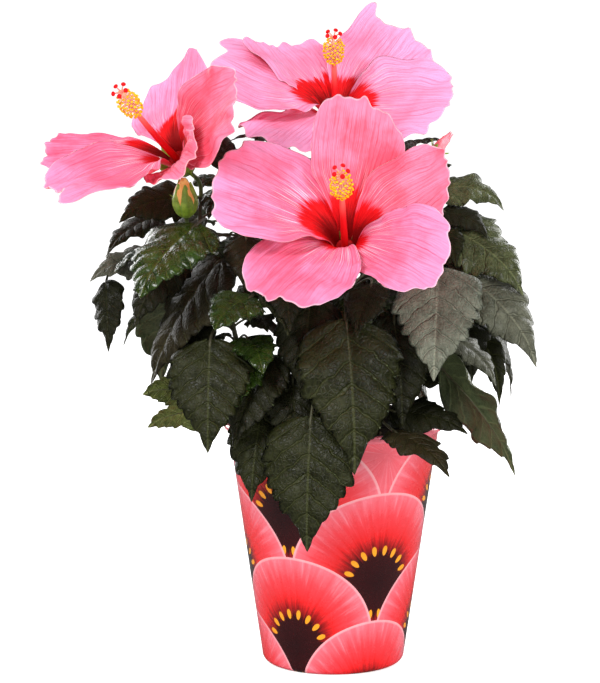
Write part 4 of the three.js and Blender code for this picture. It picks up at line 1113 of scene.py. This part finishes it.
def make_pot():
    """The turned pot: a flat underside, a round foot, a straight flared wall and a rolled rim."""
    height, lip, rise, arc = POT["height"], POT["lip"], POT["lip_height"], POT["round"]
    top, start, hollow = pot_radius(height), height - rise, pot_inside(height)
    turn = np.radians(np.linspace(0, 90, 9))
    foot = [(pot_radius(arc) - arc * (1 - np.sin(a)), arc * (1 - np.cos(a))) for a in turn]
    wall = [(pot_radius(h), h) for h in np.linspace(arc + 4, start, 24)]
    bead = [(top - 0.2, start + 0.1), (top + lip - 1.4, start + 0.3), (top + lip - 0.4, start + 0.9)]
    bead += [(top + lip, start + 1.8), (top + lip, height - 1.4), (top + lip - 0.4, height - 0.4)]
    bead += [(top + lip - 1.3, height)]
    inside = [(hollow + 0.5, height), (hollow, height - 0.6)]
    inside += [(pot_inside(h), h) for h in (height - 4, 120, 90, 60, 30, POT["floor"] + 1)]
    inside += [(pot_inside(POT["floor"]) - 1, POT["floor"])]
    profile = [(0, 0), (20, 0), *foot, *wall, *bead, *inside, (0, POT["floor"])]
    made = lathe(profile, POT_SIDES)
    quad_tones = np.where(made["places"][:, :, 1].min(axis=1) >= start, 1, 0)
    quad_tones[(len(profile) - 3 - len(inside)) * POT_SIDES :] = 2
    made["tones"] = np.concatenate([quad_tones, np.zeros(len(made["triangles"]), int)])
    piece("pot_printed", [made], [print_gloss, rim_gloss, pot_lining], ["pot"], "print")


def rumple(x, y, seed):
    """A crumbly height from 0 to 1: sums of sines of turned places, each finer and weaker."""
    total = 0 * x
    for k in range(6):
        turn, scale = 2.4 * k + seed, 0.11 * 1.75**k
        one, other = x * np.cos(turn) + y * np.sin(turn), y * np.cos(turn) - x * np.sin(turn)
        total = total + 0.62**k * np.sin(scale * one + 1.7 * turn + 1.5 * np.sin(scale * 0.7 * other))
    return 0.5 + total / 4


CRUMBS = 260


def make_soil():
    """The filling: a domed crumbly top over a plain plug, with loose crumbs and bark chips on it."""
    low, edge, dome = POT["floor"] + CLEAR, SOIL["top"] - SOIL["dome"], SOIL["dome"]
    reach = pot_inside(edge) - SOIL["gap"]

    def domed(radius):
        """The height of the dome: a parabola over the radius."""
        return edge + dome * (1 - (radius / reach) ** 2)

    def crumbled(radius, height, turn):
        """The top made rough, but not where it meets the pot."""
        rough = (rumple(radius * np.cos(turn), radius * np.sin(turn), 1) - 0.75) * 2.6
        return radius, height + rough * (height > edge - 0.5) * smooth(0, 3, reach - radius + 0.5)

    top = [(r, domed(r)) for r in np.linspace(reach, 0.6, 60)]
    profile = [(0, low), (pot_inside(low) - SOIL["gap"], low), (reach, edge - 1), *top, (0, SOIL["top"])]
    k = np.arange(CRUMBS)
    away, turn = (reach - 3) * np.sqrt(chance(7, k)), 2 * np.pi * chance(8, k)
    centres = np.stack([away * np.cos(turn), away * np.sin(turn), domed(away) - 0.5], axis=-1)
    axes = direction(360 * chance(9, k), 40 * (chance(10, k) - 0.5))
    sizes = [mix(0.6, 1.6, chance(11, k)), mix(0.5, 1.2, chance(12, k)), mix(0.9, 3.4, chance(13, k) ** 3)]
    shapes = [lathe(profile, 150, crumbled), beads(centres, axes, np.stack(sizes, -1), 1, 6, 3)]
    piece("soil_filling", shapes, [soil, chips], ["soil"])


# ---------------------------------------------------------------- materials


class Signal:
    """What a shader socket gives. Signals and numbers can be added, subtracted, multiplied and divided."""

    def __init__(self, socket):
        """Remembers the socket and the node tree that it belongs to."""
        self.socket, self.tree = socket, socket.id_data

    def __add__(self, other):
        """The sum."""
        return maths("ADD", self, other)

    def __sub__(self, other):
        """The difference."""
        return maths("SUBTRACT", self, other)

    def __rsub__(self, other):
        """A number less the signal."""
        return maths("SUBTRACT", other, self)

    def __mul__(self, other):
        """The product."""
        return maths("MULTIPLY", self, other)

    def __truediv__(self, other):
        """The quotient."""
        return maths("DIVIDE", self, other)


def plug(value, socket):
    """Links a signal to a socket, or sets a plain value on it. A colour is red, green and blue."""
    if isinstance(value, Signal):
        value.tree.links.new(value.socket, socket)
    else:
        socket.default_value = (*value, 1.0) if socket.type == "RGBA" else value


def node(tree, kind, inputs=None, **settings):
    """A node with its settings and inputs, which are values or signals."""
    made = tree.nodes.new(kind)
    for key, value in settings.items():
        setattr(made, key, value)
    for key, value in (inputs or {}).items():
        plug(value, made.inputs[key])
    return made


def derived(kind, output, inputs, **settings):
    """One output of a new node, which stands in the tree of the signals that go into it."""
    tree = next(value.tree for value in inputs.values() if isinstance(value, Signal))
    return Signal(node(tree, kind, inputs, **settings).outputs[output])


def maths(operation, *values):
    """One operation on signals and numbers."""
    return derived("ShaderNodeMath", 0, dict(enumerate(values)), operation=operation)


def ramped(value, low, high, start=0.0, end=1.0):
    """start where value is low, end where it is high, and a smooth step between."""
    inputs = {"Value": value, "From Min": low, "From Max": high, "To Min": start, "To Max": end}
    return derived("ShaderNodeMapRange", "Result", inputs, interpolation_type="SMOOTHSTEP")


def blended(share, a, b):
    """Colour a at share 0 and b at share 1."""
    return derived("ShaderNodeMix", 2, {0: share, 6: a, 7: b}, data_type="RGBA")


def between(share, a, b):
    """Value a at share 0 and b at share 1."""
    return derived("ShaderNodeMix", 0, {0: share, 2: a, 3: b}, data_type="FLOAT")


def noise(place, scale, detail=4.0, roughness=0.55):
    """A cloudy value round a half, in about scale repeats for each unit of the place."""
    inputs = {"Vector": place, "Scale": scale, "Detail": detail, "Roughness": roughness}
    return derived("ShaderNodeTexNoise", "Fac", inputs)


def stretched(place, x, y):
    """The place with its first two coordinates multiplied."""
    return derived("ShaderNodeMapping", "Vector", {"Vector": place, "Scale": (x, y, 1.0)})


def lines(place, count, thin, wide):
    """1 on evenly spaced lines, count for each unit of the place, and 0 between them."""
    return ramped(maths("PINGPONG", place * count, 0.5), thin, wide, 1.0, 0.0)


def bump(height, strength, distance):
    """The normal of a surface with that height, in parts of a distance in metres."""
    return derived("ShaderNodeBump", "Normal", {"Height": height, "Strength": strength, "Distance": distance})


def split(place):
    """The first two coordinates of a place."""
    parts = node(place.tree, "ShaderNodeSeparateXYZ", {0: place}).outputs
    return Signal(parts[0]), Signal(parts[1])


def object_place(tree):
    """The place on the plant, in metres."""
    return Signal(node(tree, "ShaderNodeTexCoord").outputs["Object"])


def own_place(tree, name):
    """The place on a piece's own pattern."""
    return Signal(node(tree, "ShaderNodeUVMap", uv_map=name).outputs["UV"])


def new_group(marks, **inputs):
    """A node group that takes inputs and puts out what the function marks makes of them, by name."""
    tree = bpy.data.node_groups.new(marks.__name__, "ShaderNodeTree")
    for label, kind in inputs.items():
        tree.interface.new_socket(label, in_out="INPUT", socket_type=kind)
    start = tree.nodes.new("NodeGroupInput").outputs
    made = marks(*(Signal(start[label]) for label in inputs))
    for label in made:
        tree.interface.new_socket(label, in_out="OUTPUT", socket_type="NodeSocketFloat")
    end = tree.nodes.new("NodeGroupOutput").inputs
    for label, signal in made.items():
        plug(signal, end[label])
    return tree


def use(group, tree, **inputs):
    """A group's outputs as signals, by name. Its inputs are values or signals."""
    made = node(tree, "ShaderNodeGroup", node_tree=group)
    for label, value in inputs.items():
        plug(value, made.inputs[label])
    return {output.name: Signal(output) for output in made.outputs}


def new_material(name):
    """A material, its node tree and its shader."""
    made = bpy.data.materials.new(name)
    made.use_nodes = True
    return made, made.node_tree, made.node_tree.nodes["Principled BSDF"]


def finish(shader, color, roughness, normal=None, **fixed):
    """Plugs in the colour, roughness and normal, and sets the plain values on the shader itself."""
    plug(color, shader.inputs["Base Color"])
    plug(roughness, shader.inputs["Roughness"])
    if normal is not None:
        plug(normal, shader.inputs["Normal"])
    for label, value in fixed.items():
        shader.inputs[label.replace("_", " ")].default_value = value


def grain(place, scale):
    """A fine grain and a broad blotch for skins, bark and soil, at a scale in repeats for each metre."""
    return {"Fine": noise(place, scale, 6.0, 0.65), "Broad": noise(place, scale * 0.17, 3.0, 0.5)}


def leaf_pattern(place):
    """Veins of a leaf, from the place along and across it in leaf lengths. Side veins leave the rib at even
    steps and fan out at the foot; a net of cells lies between. Gives the veins, the relief and a mottle."""
    x, y = split(place)
    y = maths("ABSOLUTE", y)
    wobble = (noise(place, 9.0, 2.0) - 0.5) * 0.08
    beyond = x - y * VEIN_LEAN + wobble
    fan = (math.atan(1 / VEIN_LEAN) - maths("ARCTAN2", y, x)) / FAN_STEP
    phase = between(maths("GREATER_THAN", beyond, 0.0), fan, beyond / VEIN_STEP)
    side = lines(phase, 1.0, 0.02, 0.11)
    rib = ramped(y, 0.004, 0.015, 1.0, 0.0)
    inputs = {"Vector": place, "Scale": 34.0}
    net = derived("ShaderNodeTexVoronoi", "Distance", inputs, feature="DISTANCE_TO_EDGE")
    cell = ramped(net, 0.0, 0.22)
    veins = maths("MAXIMUM", maths("MAXIMUM", side * 0.7, rib), (1.0 - cell) * 0.3)
    return {"Veins": veins, "Relief": cell * 0.3 - side, "Mottle": noise(place, 5.0, 5.0, 0.6)}


def petal_pattern(place, spot):
    """Marks of a petal, from the place along it, 0 to 1, and across it, -1 to 1, and from the spot on the
    plant. Veins run lengthwise and fork halfway. Gives the veins, the flame-edged eye, its heart, the pale
    streaks round it, the rim and a cloud."""
    u, v = split(place)
    line = v + (noise(stretched(place, 5, 3), 1.0, 3.0) - 0.5) * 0.1
    forked = lines(line, 27.0, 0.03, 0.25) * ramped(u, 0.4, 0.62, 0.0, 0.6)
    broken = ramped(noise(stretched(place, 4, 24), 1.0, 4.0), 0.32, 0.62, 0.2, 1.0)
    veins = maths("MAXIMUM", lines(line, 11.0, 0.02, 0.15), forked) * broken
    flames = noise(stretched(place, 1.2, 15), 1.0, 5.0, 0.72) - 0.5
    reach = u + v * v * 0.1 + flames * 0.36
    rays = ramped(noise(stretched(place, 1.6, 44), 1.0, 3.0, 0.6), 0.53, 0.63)
    margin = maths("MAXIMUM", ramped(u, 0.985, 1.0), ramped(maths("ABSOLUTE", v), 0.985, 1.0))
    return {
        "Veins": veins * ramped(u, 0.82, 1.0, 1.0, 0.35),
        "Eye": ramped(reach, 0.4, 0.45, 1.0, 0.0),
        "Heart": ramped(reach, 0.2, 0.36, 1.0, 0.0),
        "Streaks": rays * (ramped(u, 0.36, 0.46) * ramped(u, 0.48, 0.74, 1.0, 0.0)),
        "Rim": margin * ramped(u, 0.4, 0.6),
        "Cloud": noise(spot, 26.0, 4.0, 0.6) - (u - 0.72) * 0.32,
    }


SCALE_REACH = 56.0  # from a printed scale's heart to its rim, in millimetres of height
SCALE_STEP = 40.0  # from one row of scales to the next
SCALES_ROUND = 3.0  # scales in a row
SCALE_LIFT = 22.0  # how far under the foot the first row's hearts lie
TOP_SCALES = 3.0  # the last row of scales, over which a plain ground shows
GROUND_REACH = 0.9  # the reach whose colour the plain ground has


def print_pattern(place):
    """Rows of large scales, each row half a scale round from the next and lying over the one above. At a
    place (turns round, height) the lowest row whose scale reaches it shows, and above the last row a plain
    ground. Gives the reach, from 0 at that scale's heart to 1 at its rim, and the turn about its heart."""
    u, height = split(place)
    height = height + SCALE_LIFT
    level = maths("FLOOR", height / SCALE_STEP)

    def scale(row):
        """The reach and turn of a place in the nearest scale of a row, and the row."""
        rise = (height - row * SCALE_STEP) / SCALE_REACH
        shift = maths("MODULO", row + 4.0, 2.0) * 0.5
        side = (maths("FRACT", u * SCALES_ROUND + shift) - 0.5) * 2.0
        return maths("SQRT", side * side + rise * rise), maths("ARCTAN2", side, rise), row

    shown, *above = [scale(level - step) for step in (1.0, 0.0, -1.0)]
    for other in above:
        beyond = maths("GREATER_THAN", shown[0], 1.0)
        shown = [between(beyond, a, b) for a, b in zip(shown, other)]
    on_ground = maths("GREATER_THAN", shown[2], TOP_SCALES)
    return {"Reach": between(on_ground, shown[0], GROUND_REACH), "Turn": shown[1]}


PLACE = dict(Place="NodeSocketVector")
grains = new_group(grain, **PLACE, Scale="NodeSocketFloat")
leaf_marks = new_group(leaf_pattern, **PLACE)
petal_marks = new_group(petal_pattern, **PLACE, Spot="NodeSocketVector")
print_marks = new_group(print_pattern, **PLACE)


def leaf_face(tone, deep, light, vein, roughness, coat, depth):
    """The upper side: deep and light by the mottle, paler veins, and a wet-looking coat over low bulges."""
    made, tree, shader = new_material(f"leaf_{tone}")
    marks = use(leaf_marks, tree, Place=own_place(tree, "blade"))
    base = blended(ramped(marks["Mottle"], 0.35, 0.68), deep, light)
    color = blended(marks["Veins"] * 0.6, base, vein)
    rough = ramped(marks["Mottle"], 0.3, 0.7, roughness - 0.06, roughness + 0.08)
    normal = bump(marks["Relief"], 0.9, depth)
    finish(shader, color, rough, normal, Coat_Weight=coat, Coat_Roughness=0.22, Specular_IOR_Level=0.26)
    return made


def leaf_underside():
    """The lower side: a paler matt green with standing veins."""
    made, tree, shader = new_material("leaf_underside")
    marks = use(leaf_marks, tree, Place=own_place(tree, "blade"))
    base = blended(ramped(marks["Mottle"], 0.35, 0.7), (0.03, 0.042, 0.016), (0.06, 0.078, 0.032))
    color = blended(marks["Veins"] * 0.7, base, (0.13, 0.155, 0.065))
    finish(shader, color, 0.55, bump(marks["Relief"] * -1.0, 0.7, 0.0006), Specular_IOR_Level=0.3)
    return made


def petal_face(tone, pale, full, vein, streaks):
    """The inner side: paler outwards in a soft cloud, with finer deeper veins, pale streaks round a red eye
    whose heart is a deep dark red, and a thin pale rim, all over a crepe of low crumples."""
    made, tree, shader = new_material(f"petal_{tone}")
    place = own_place(tree, "place")
    marks = use(petal_marks, tree, Place=place, Spot=object_place(tree))
    color = blended(ramped(marks["Cloud"], 0.36, 0.62), pale, full)
    color = blended(marks["Veins"] * 0.5, color, vein)
    color = blended(marks["Streaks"] * streaks, color, (1.0, 0.72, 0.84))
    color = blended(marks["Rim"] * 0.7, color, (1.0, 0.7, 0.78))
    color = blended(marks["Eye"], color, (0.78, 0.004, 0.008))
    color = blended(marks["Heart"], color, (0.24, 0.001, 0.002))
    crepe = noise(stretched(place, 26, 40), 1.0, 3.0)
    normal = bump(marks["Veins"] * -1.0 + crepe * 0.9, 0.6, 0.0007)
    finish(shader, color, 0.55, normal, Specular_IOR_Level=0.15)
    return made


def petal_underside():
    """The outer side: coral with fine deeper veins and a pale foot."""
    made, tree, shader = new_material("petal_underside")
    place = own_place(tree, "place")
    marks = use(petal_marks, tree, Place=place, Spot=object_place(tree))
    color = blended(ramped(marks["Cloud"], 0.36, 0.62), (0.93, 0.2, 0.26), (0.88, 0.12, 0.17))
    color = blended(marks["Veins"] * 0.6, color, (0.72, 0.05, 0.09))
    color = blended(marks["Rim"] * 0.7, color, (1.0, 0.6, 0.62))
    color = blended(ramped(split(place)[0], 0.05, 0.3, 0.8, 0.0), color, (0.95, 0.5, 0.4))
    normal = bump(marks["Veins"] + marks["Cloud"] * 0.8, 0.5, 0.0005)
    finish(shader, color, 0.5, normal, Specular_IOR_Level=0.15)
    return made


def grained(name, dark, light, roughness, scale, depth, specular=0.5, coat=0.0):
    """A skin of two colours mixed by the grain, with the grain as relief, and a share of gloss and coat."""
    made, tree, shader = new_material(name)
    parts = use(grains, tree, Place=object_place(tree), Scale=scale)
    both = parts["Fine"] * 0.55 + parts["Broad"] * 0.45
    color = blended(ramped(both, 0.35, 0.65), dark, light)
    normal = bump(parts["Fine"], 0.6, depth)
    finish(shader, color, roughness, normal, Specular_IOR_Level=specular, Coat_Weight=coat)
    return made


def column_material():
    """The column's skin: deep red at the throat, coral and salmon towards the anthers."""
    made, tree, shader = new_material("column_skin")
    along = split(own_place(tree, "place"))[0]
    parts = use(grains, tree, Place=object_place(tree), Scale=900.0)
    color = blended(ramped(along, 0.42, 0.8), (0.8, 0.008, 0.012), (0.9, 0.2, 0.16))
    color = blended(ramped(along, 0.7, 0.95), color, (0.95, 0.42, 0.3))
    finish(shader, color, 0.45, bump(parts["Fine"], 0.3, 0.0002), Specular_IOR_Level=0.4)
    return made


# The colour of the print at a reach from a scale's heart.
INKS = (
    (0.0, (0.02, 0.002, 0.003)), (0.33, (0.035, 0.002, 0.003)), (0.43, (0.3, 0.004, 0.004)),
    (0.54, (0.75, 0.01, 0.012)), (0.74, (0.8, 0.045, 0.06)), (1.0, (0.86, 0.17, 0.22)),
)


def pot_print():
    """The gloss print: each scale runs from a dark heart through red and coral to pink, with fine rays, a
    thin pale rim, and an arc of golden dots."""
    made, tree, shader = new_material("print_gloss")
    marks = use(print_marks, tree, Place=own_place(tree, "print"))
    reach, turn = marks["Reach"], marks["Turn"]
    rays = noise(derived("ShaderNodeCombineXYZ", 0, {0: turn * 14.0, 1: reach * 1.5}), 1.0, 5.0, 0.68)
    ragged = reach + (rays - 0.5) * 0.4
    ramp = node(tree, "ShaderNodeValToRGB", {0: ragged})
    while len(ramp.color_ramp.elements) < len(INKS):
        ramp.color_ramp.elements.new(1.0)
    for element, (at, ink) in zip(ramp.color_ramp.elements, INKS):
        element.position, element.color = at, (*ink, 1.0)
    streaks = ramped(rays, 0.5, 0.72, 0.0, 0.5) * ramped(ragged, 0.62, 0.95)
    color = blended(streaks, Signal(ramp.outputs["Color"]), (0.88, 0.3, 0.36))
    color = blended(ramped(reach, 0.965, 0.985) * 0.55, color, (0.92, 0.5, 0.52))
    across = (0.5 - maths("PINGPONG", turn * 2.86, 0.5)) * 0.16
    out = (reach - 0.36) * 0.62
    dot = maths("SQRT", across * across + out * out)
    color = blended(ramped(dot, 0.03, 0.038, 1.0, 0.0), color, (0.9, 0.34, 0.012))
    parts = use(grains, tree, Place=object_place(tree), Scale=160.0)
    rough = ramped(parts["Fine"], 0.3, 0.7, 0.22, 0.3)
    normal = bump(parts["Broad"], 0.1, 0.0004)
    finish(shader, color, rough, normal, Coat_Weight=0.6, Coat_Roughness=0.08, Specular_IOR_Level=0.3)
    return made


# Each leaf tone: its deep colour, its light one, its veins' colour, roughness, coat, and depth of relief.
LEAF_LOOKS = {
    "dark": ((0.006, 0.006, 0.0015), (0.014, 0.015, 0.004), (0.035, 0.038, 0.01), 0.46, 0.0, 0.0009),
    "olive": ((0.0075, 0.0085, 0.0015), (0.019, 0.021, 0.004), (0.055, 0.062, 0.016), 0.44, 0.0, 0.0009),
    # The moss tone: a lighter olive green painted for the stronger light on the right side's leaves, painted
    # light.
    "moss": ((0.026, 0.032, 0.01), (0.08, 0.095, 0.036), (0.22, 0.25, 0.11), 0.34, 0.2, 0.0018),
    "brown": ((0.01, 0.0075, 0.002), (0.024, 0.019, 0.005), (0.05, 0.044, 0.014), 0.47, 0.0, 0.0009),
    # The pale grey and silver tones: painted sheen, a painted reflection of the white sky on dark glossy
    # leaves.
    "grey": ((0.055, 0.058, 0.038), (0.12, 0.123, 0.085), (0.24, 0.245, 0.17), 0.42, 0.05, 0.0016),
    "silver": ((0.1, 0.109, 0.078), (0.19, 0.2, 0.15), (0.33, 0.35, 0.26), 0.42, 0.05, 0.0018),
    "bright": ((0.006, 0.018, 0.001), (0.026, 0.062, 0.004), (0.1, 0.15, 0.02), 0.27, 0.5, 0.0022),
    "fresh": ((0.05, 0.07, 0.012), (0.13, 0.15, 0.03), (0.32, 0.36, 0.12), 0.4, 0.1, 0.0014),
}
leaf_faces = [leaf_face(tone, *LEAF_LOOKS[tone]) for tone in TONES] + [leaf_underside()]

# Each petal tone: its pale colour, its full one, its veins' colour, and the strength of its streaks.
PETAL_LOOKS = {
    "pink": ((0.9, 0.28, 0.5), (0.89, 0.15, 0.28), (0.8, 0.05, 0.13), 0.9),
    # The rose tone: the deeper coral painted for petals in shade, painted shade.
    "rose": ((0.91, 0.24, 0.39), (0.88, 0.1, 0.17), (0.76, 0.03, 0.07), 0.4),
    # The orchid tone: the paler violet pink painted for petals that face the light, painted light.
    "lit_orchid": ((0.89, 0.36, 0.62), (0.9, 0.24, 0.42), (0.8, 0.09, 0.22), 0.5),
}
petal_faces = [petal_face(tone, *PETAL_LOOKS[tone]) for tone in PETAL_TONES] + [petal_underside()]

# Each skin: its dark colour, its light one, its roughness, and the scale and depth of its grain.
bark = grained("bark", (0.022, 0.016, 0.011), (0.11, 0.085, 0.06), 0.75, 700.0, 0.0012)
young_bark = grained("young_bark", (0.035, 0.028, 0.014), (0.085, 0.085, 0.04), 0.5, 500.0, 0.0006)
green_stalk = grained("green_stalk", (0.05, 0.08, 0.02), (0.13, 0.17, 0.05), 0.5, 500.0, 0.0005)
sepal = grained("sepal", (0.11, 0.2, 0.012), (0.3, 0.45, 0.045), 0.4, 260.0, 0.0006, coat=0.15)
bud_tips = {
    "apricot": grained("bud_apricot", (0.85, 0.35, 0.08), (0.9, 0.55, 0.16), 0.5, 300.0, 0.0004),
    "rose": grained("bud_rose", (0.9, 0.16, 0.22), (0.96, 0.38, 0.45), 0.5, 300.0, 0.0004),
}
throat = grained("throat", (0.16, 0.001, 0.002), (0.4, 0.003, 0.005), 0.6, 300.0, 0.0003, specular=0.1)
column_skin = column_material()
thread = grained("thread", (0.93, 0.42, 0.3), (0.97, 0.6, 0.42), 0.5, 600.0, 0.0001)
pollen = grained("pollen", (0.88, 0.36, 0.004), (0.95, 0.62, 0.015), 0.7, 1600.0, 0.0004, specular=0.2)
style = grained("style", (0.85, 0.2, 0.16), (0.95, 0.4, 0.3), 0.5, 600.0, 0.0001)
velvet = grained("velvet", (0.55, 0.001, 0.003), (0.82, 0.006, 0.01), 0.6, 2600.0, 0.0005, specular=0.15)
soil = grained("soil", (0.008, 0.005, 0.003), (0.05, 0.032, 0.018), 0.95, 420.0, 0.0022)
chips = grained("chips", (0.02, 0.012, 0.007), (0.16, 0.1, 0.055), 0.9, 380.0, 0.001)
print_gloss = pot_print()
rim_gloss = grained("rim_gloss", (0.78, 0.12, 0.17), (0.86, 0.2, 0.25), 0.25, 120.0, 0.0002, coat=0.5)
pot_lining = grained("pot_lining", (0.018, 0.012, 0.012), (0.035, 0.024, 0.022), 0.5, 160.0, 0.0003)

# ---------------------------------------------------------------- camera, floor and light

# Each light: its place and size in metres and its power. All point at the middle of the plant.
LIGHTS = {
    "key": ((-0.85, -1.55, 1.55), (0.6, 0.6), 31.0),
    "fill": ((1.3, -1.5, 0.8), (0.9, 0.9), 20.0),
    "left_panel": ((-0.9, 1.0, 0.35), (0.5, 1.5), 18.0),
    "right_panel": ((0.9, 1.0, 0.35), (0.5, 1.5), 18.0),
}
LIGHTS_AIM = (0, 0, 0.24)
CAMERA = dict(place=(-0.0205, -1.6, 0.42), tilt=82.1, sensor=36, lens=139.7)


def light_path(tree, kind):
    """1 for rays of that kind, such as "Is Camera Ray", and 0 for the others."""
    return Signal(node(tree, "ShaderNodeLightPath").outputs[kind])


def make_floor():
    """A wide pale floor that is white to the camera and dim in what glosses mirror."""
    bpy.ops.mesh.primitive_circle_add(vertices=96, radius=14, fill_type="NGON")
    floor = bpy.context.object
    floor.name = "floor"
    paper, tree, shader = new_material("paper_floor")
    parts = use(grains, tree, Place=object_place(tree), Scale=30.0)
    color = blended(parts["Broad"], (0.92, 0.92, 0.92), (0.96, 0.96, 0.96))
    color = blended(light_path(tree, "Is Glossy Ray"), color, (0.12, 0.12, 0.12))
    finish(shader, color, 0.9, Specular_IOR_Level=0.1, Emission_Strength=0.6)
    glow = blended(light_path(tree, "Is Camera Ray"), (0, 0, 0), (1, 1, 1))
    plug(glow, shader.inputs["Emission Color"])
    floor.data.materials.append(paper)


def make_light():
    """A white sky, a large soft key light from the upper left, a fill from the right and two tall panels
    behind, which draw a soft edge on the leaves."""
    scene = bpy.context.scene
    scene.view_settings.view_transform = "Standard"
    scene.world = bpy.data.worlds.new("studio")
    scene.world.use_nodes = True
    tree = scene.world.node_tree
    sky = tree.nodes["Background"].inputs
    plug((1, 1, 1), sky["Color"])
    unseen = between(light_path(tree, "Is Glossy Ray"), 0.6, 0.12)
    plug(between(light_path(tree, "Is Camera Ray"), unseen, 1.2), sky["Strength"])
    for name, (place, size, power) in LIGHTS.items():
        light = bpy.data.lights.new(name, "AREA")
        light.shape, light.energy = "RECTANGLE", power
        light.size, light.size_y = size
        lamp = bpy.data.objects.new(name, light)
        scene.collection.objects.link(lamp)
        lamp.location = place
        lamp.visible_camera = False
        aim = Vector(LIGHTS_AIM) - Vector(place)
        lamp.rotation_euler = aim.to_track_quat("-Z", "Y").to_euler()


def make_camera():
    """The camera: a little above the plant and 1.6 m before it, looking slightly down."""
    data = bpy.data.cameras.new("camera")
    data.sensor_width, data.lens = CAMERA["sensor"], CAMERA["lens"]
    camera = bpy.data.objects.new("camera", data)
    bpy.context.scene.collection.objects.link(camera)
    camera.location = CAMERA["place"]
    camera.rotation_euler = (math.radians(CAMERA["tilt"]), 0, 0)
    bpy.context.scene.camera = camera


make_camera()
make_floor()
make_light()
make_pot()
make_soil()
make_wood()
make_leaves(grow_leaves())
for seed, (name, bloom) in enumerate(BLOOMS.items()):
    make_petals(name, bloom)
    make_column(name, bloom, 50 + seed)
    make_calyx(name, bloom)
for name, bud in BUDS.items():
    make_bud(name, bud)
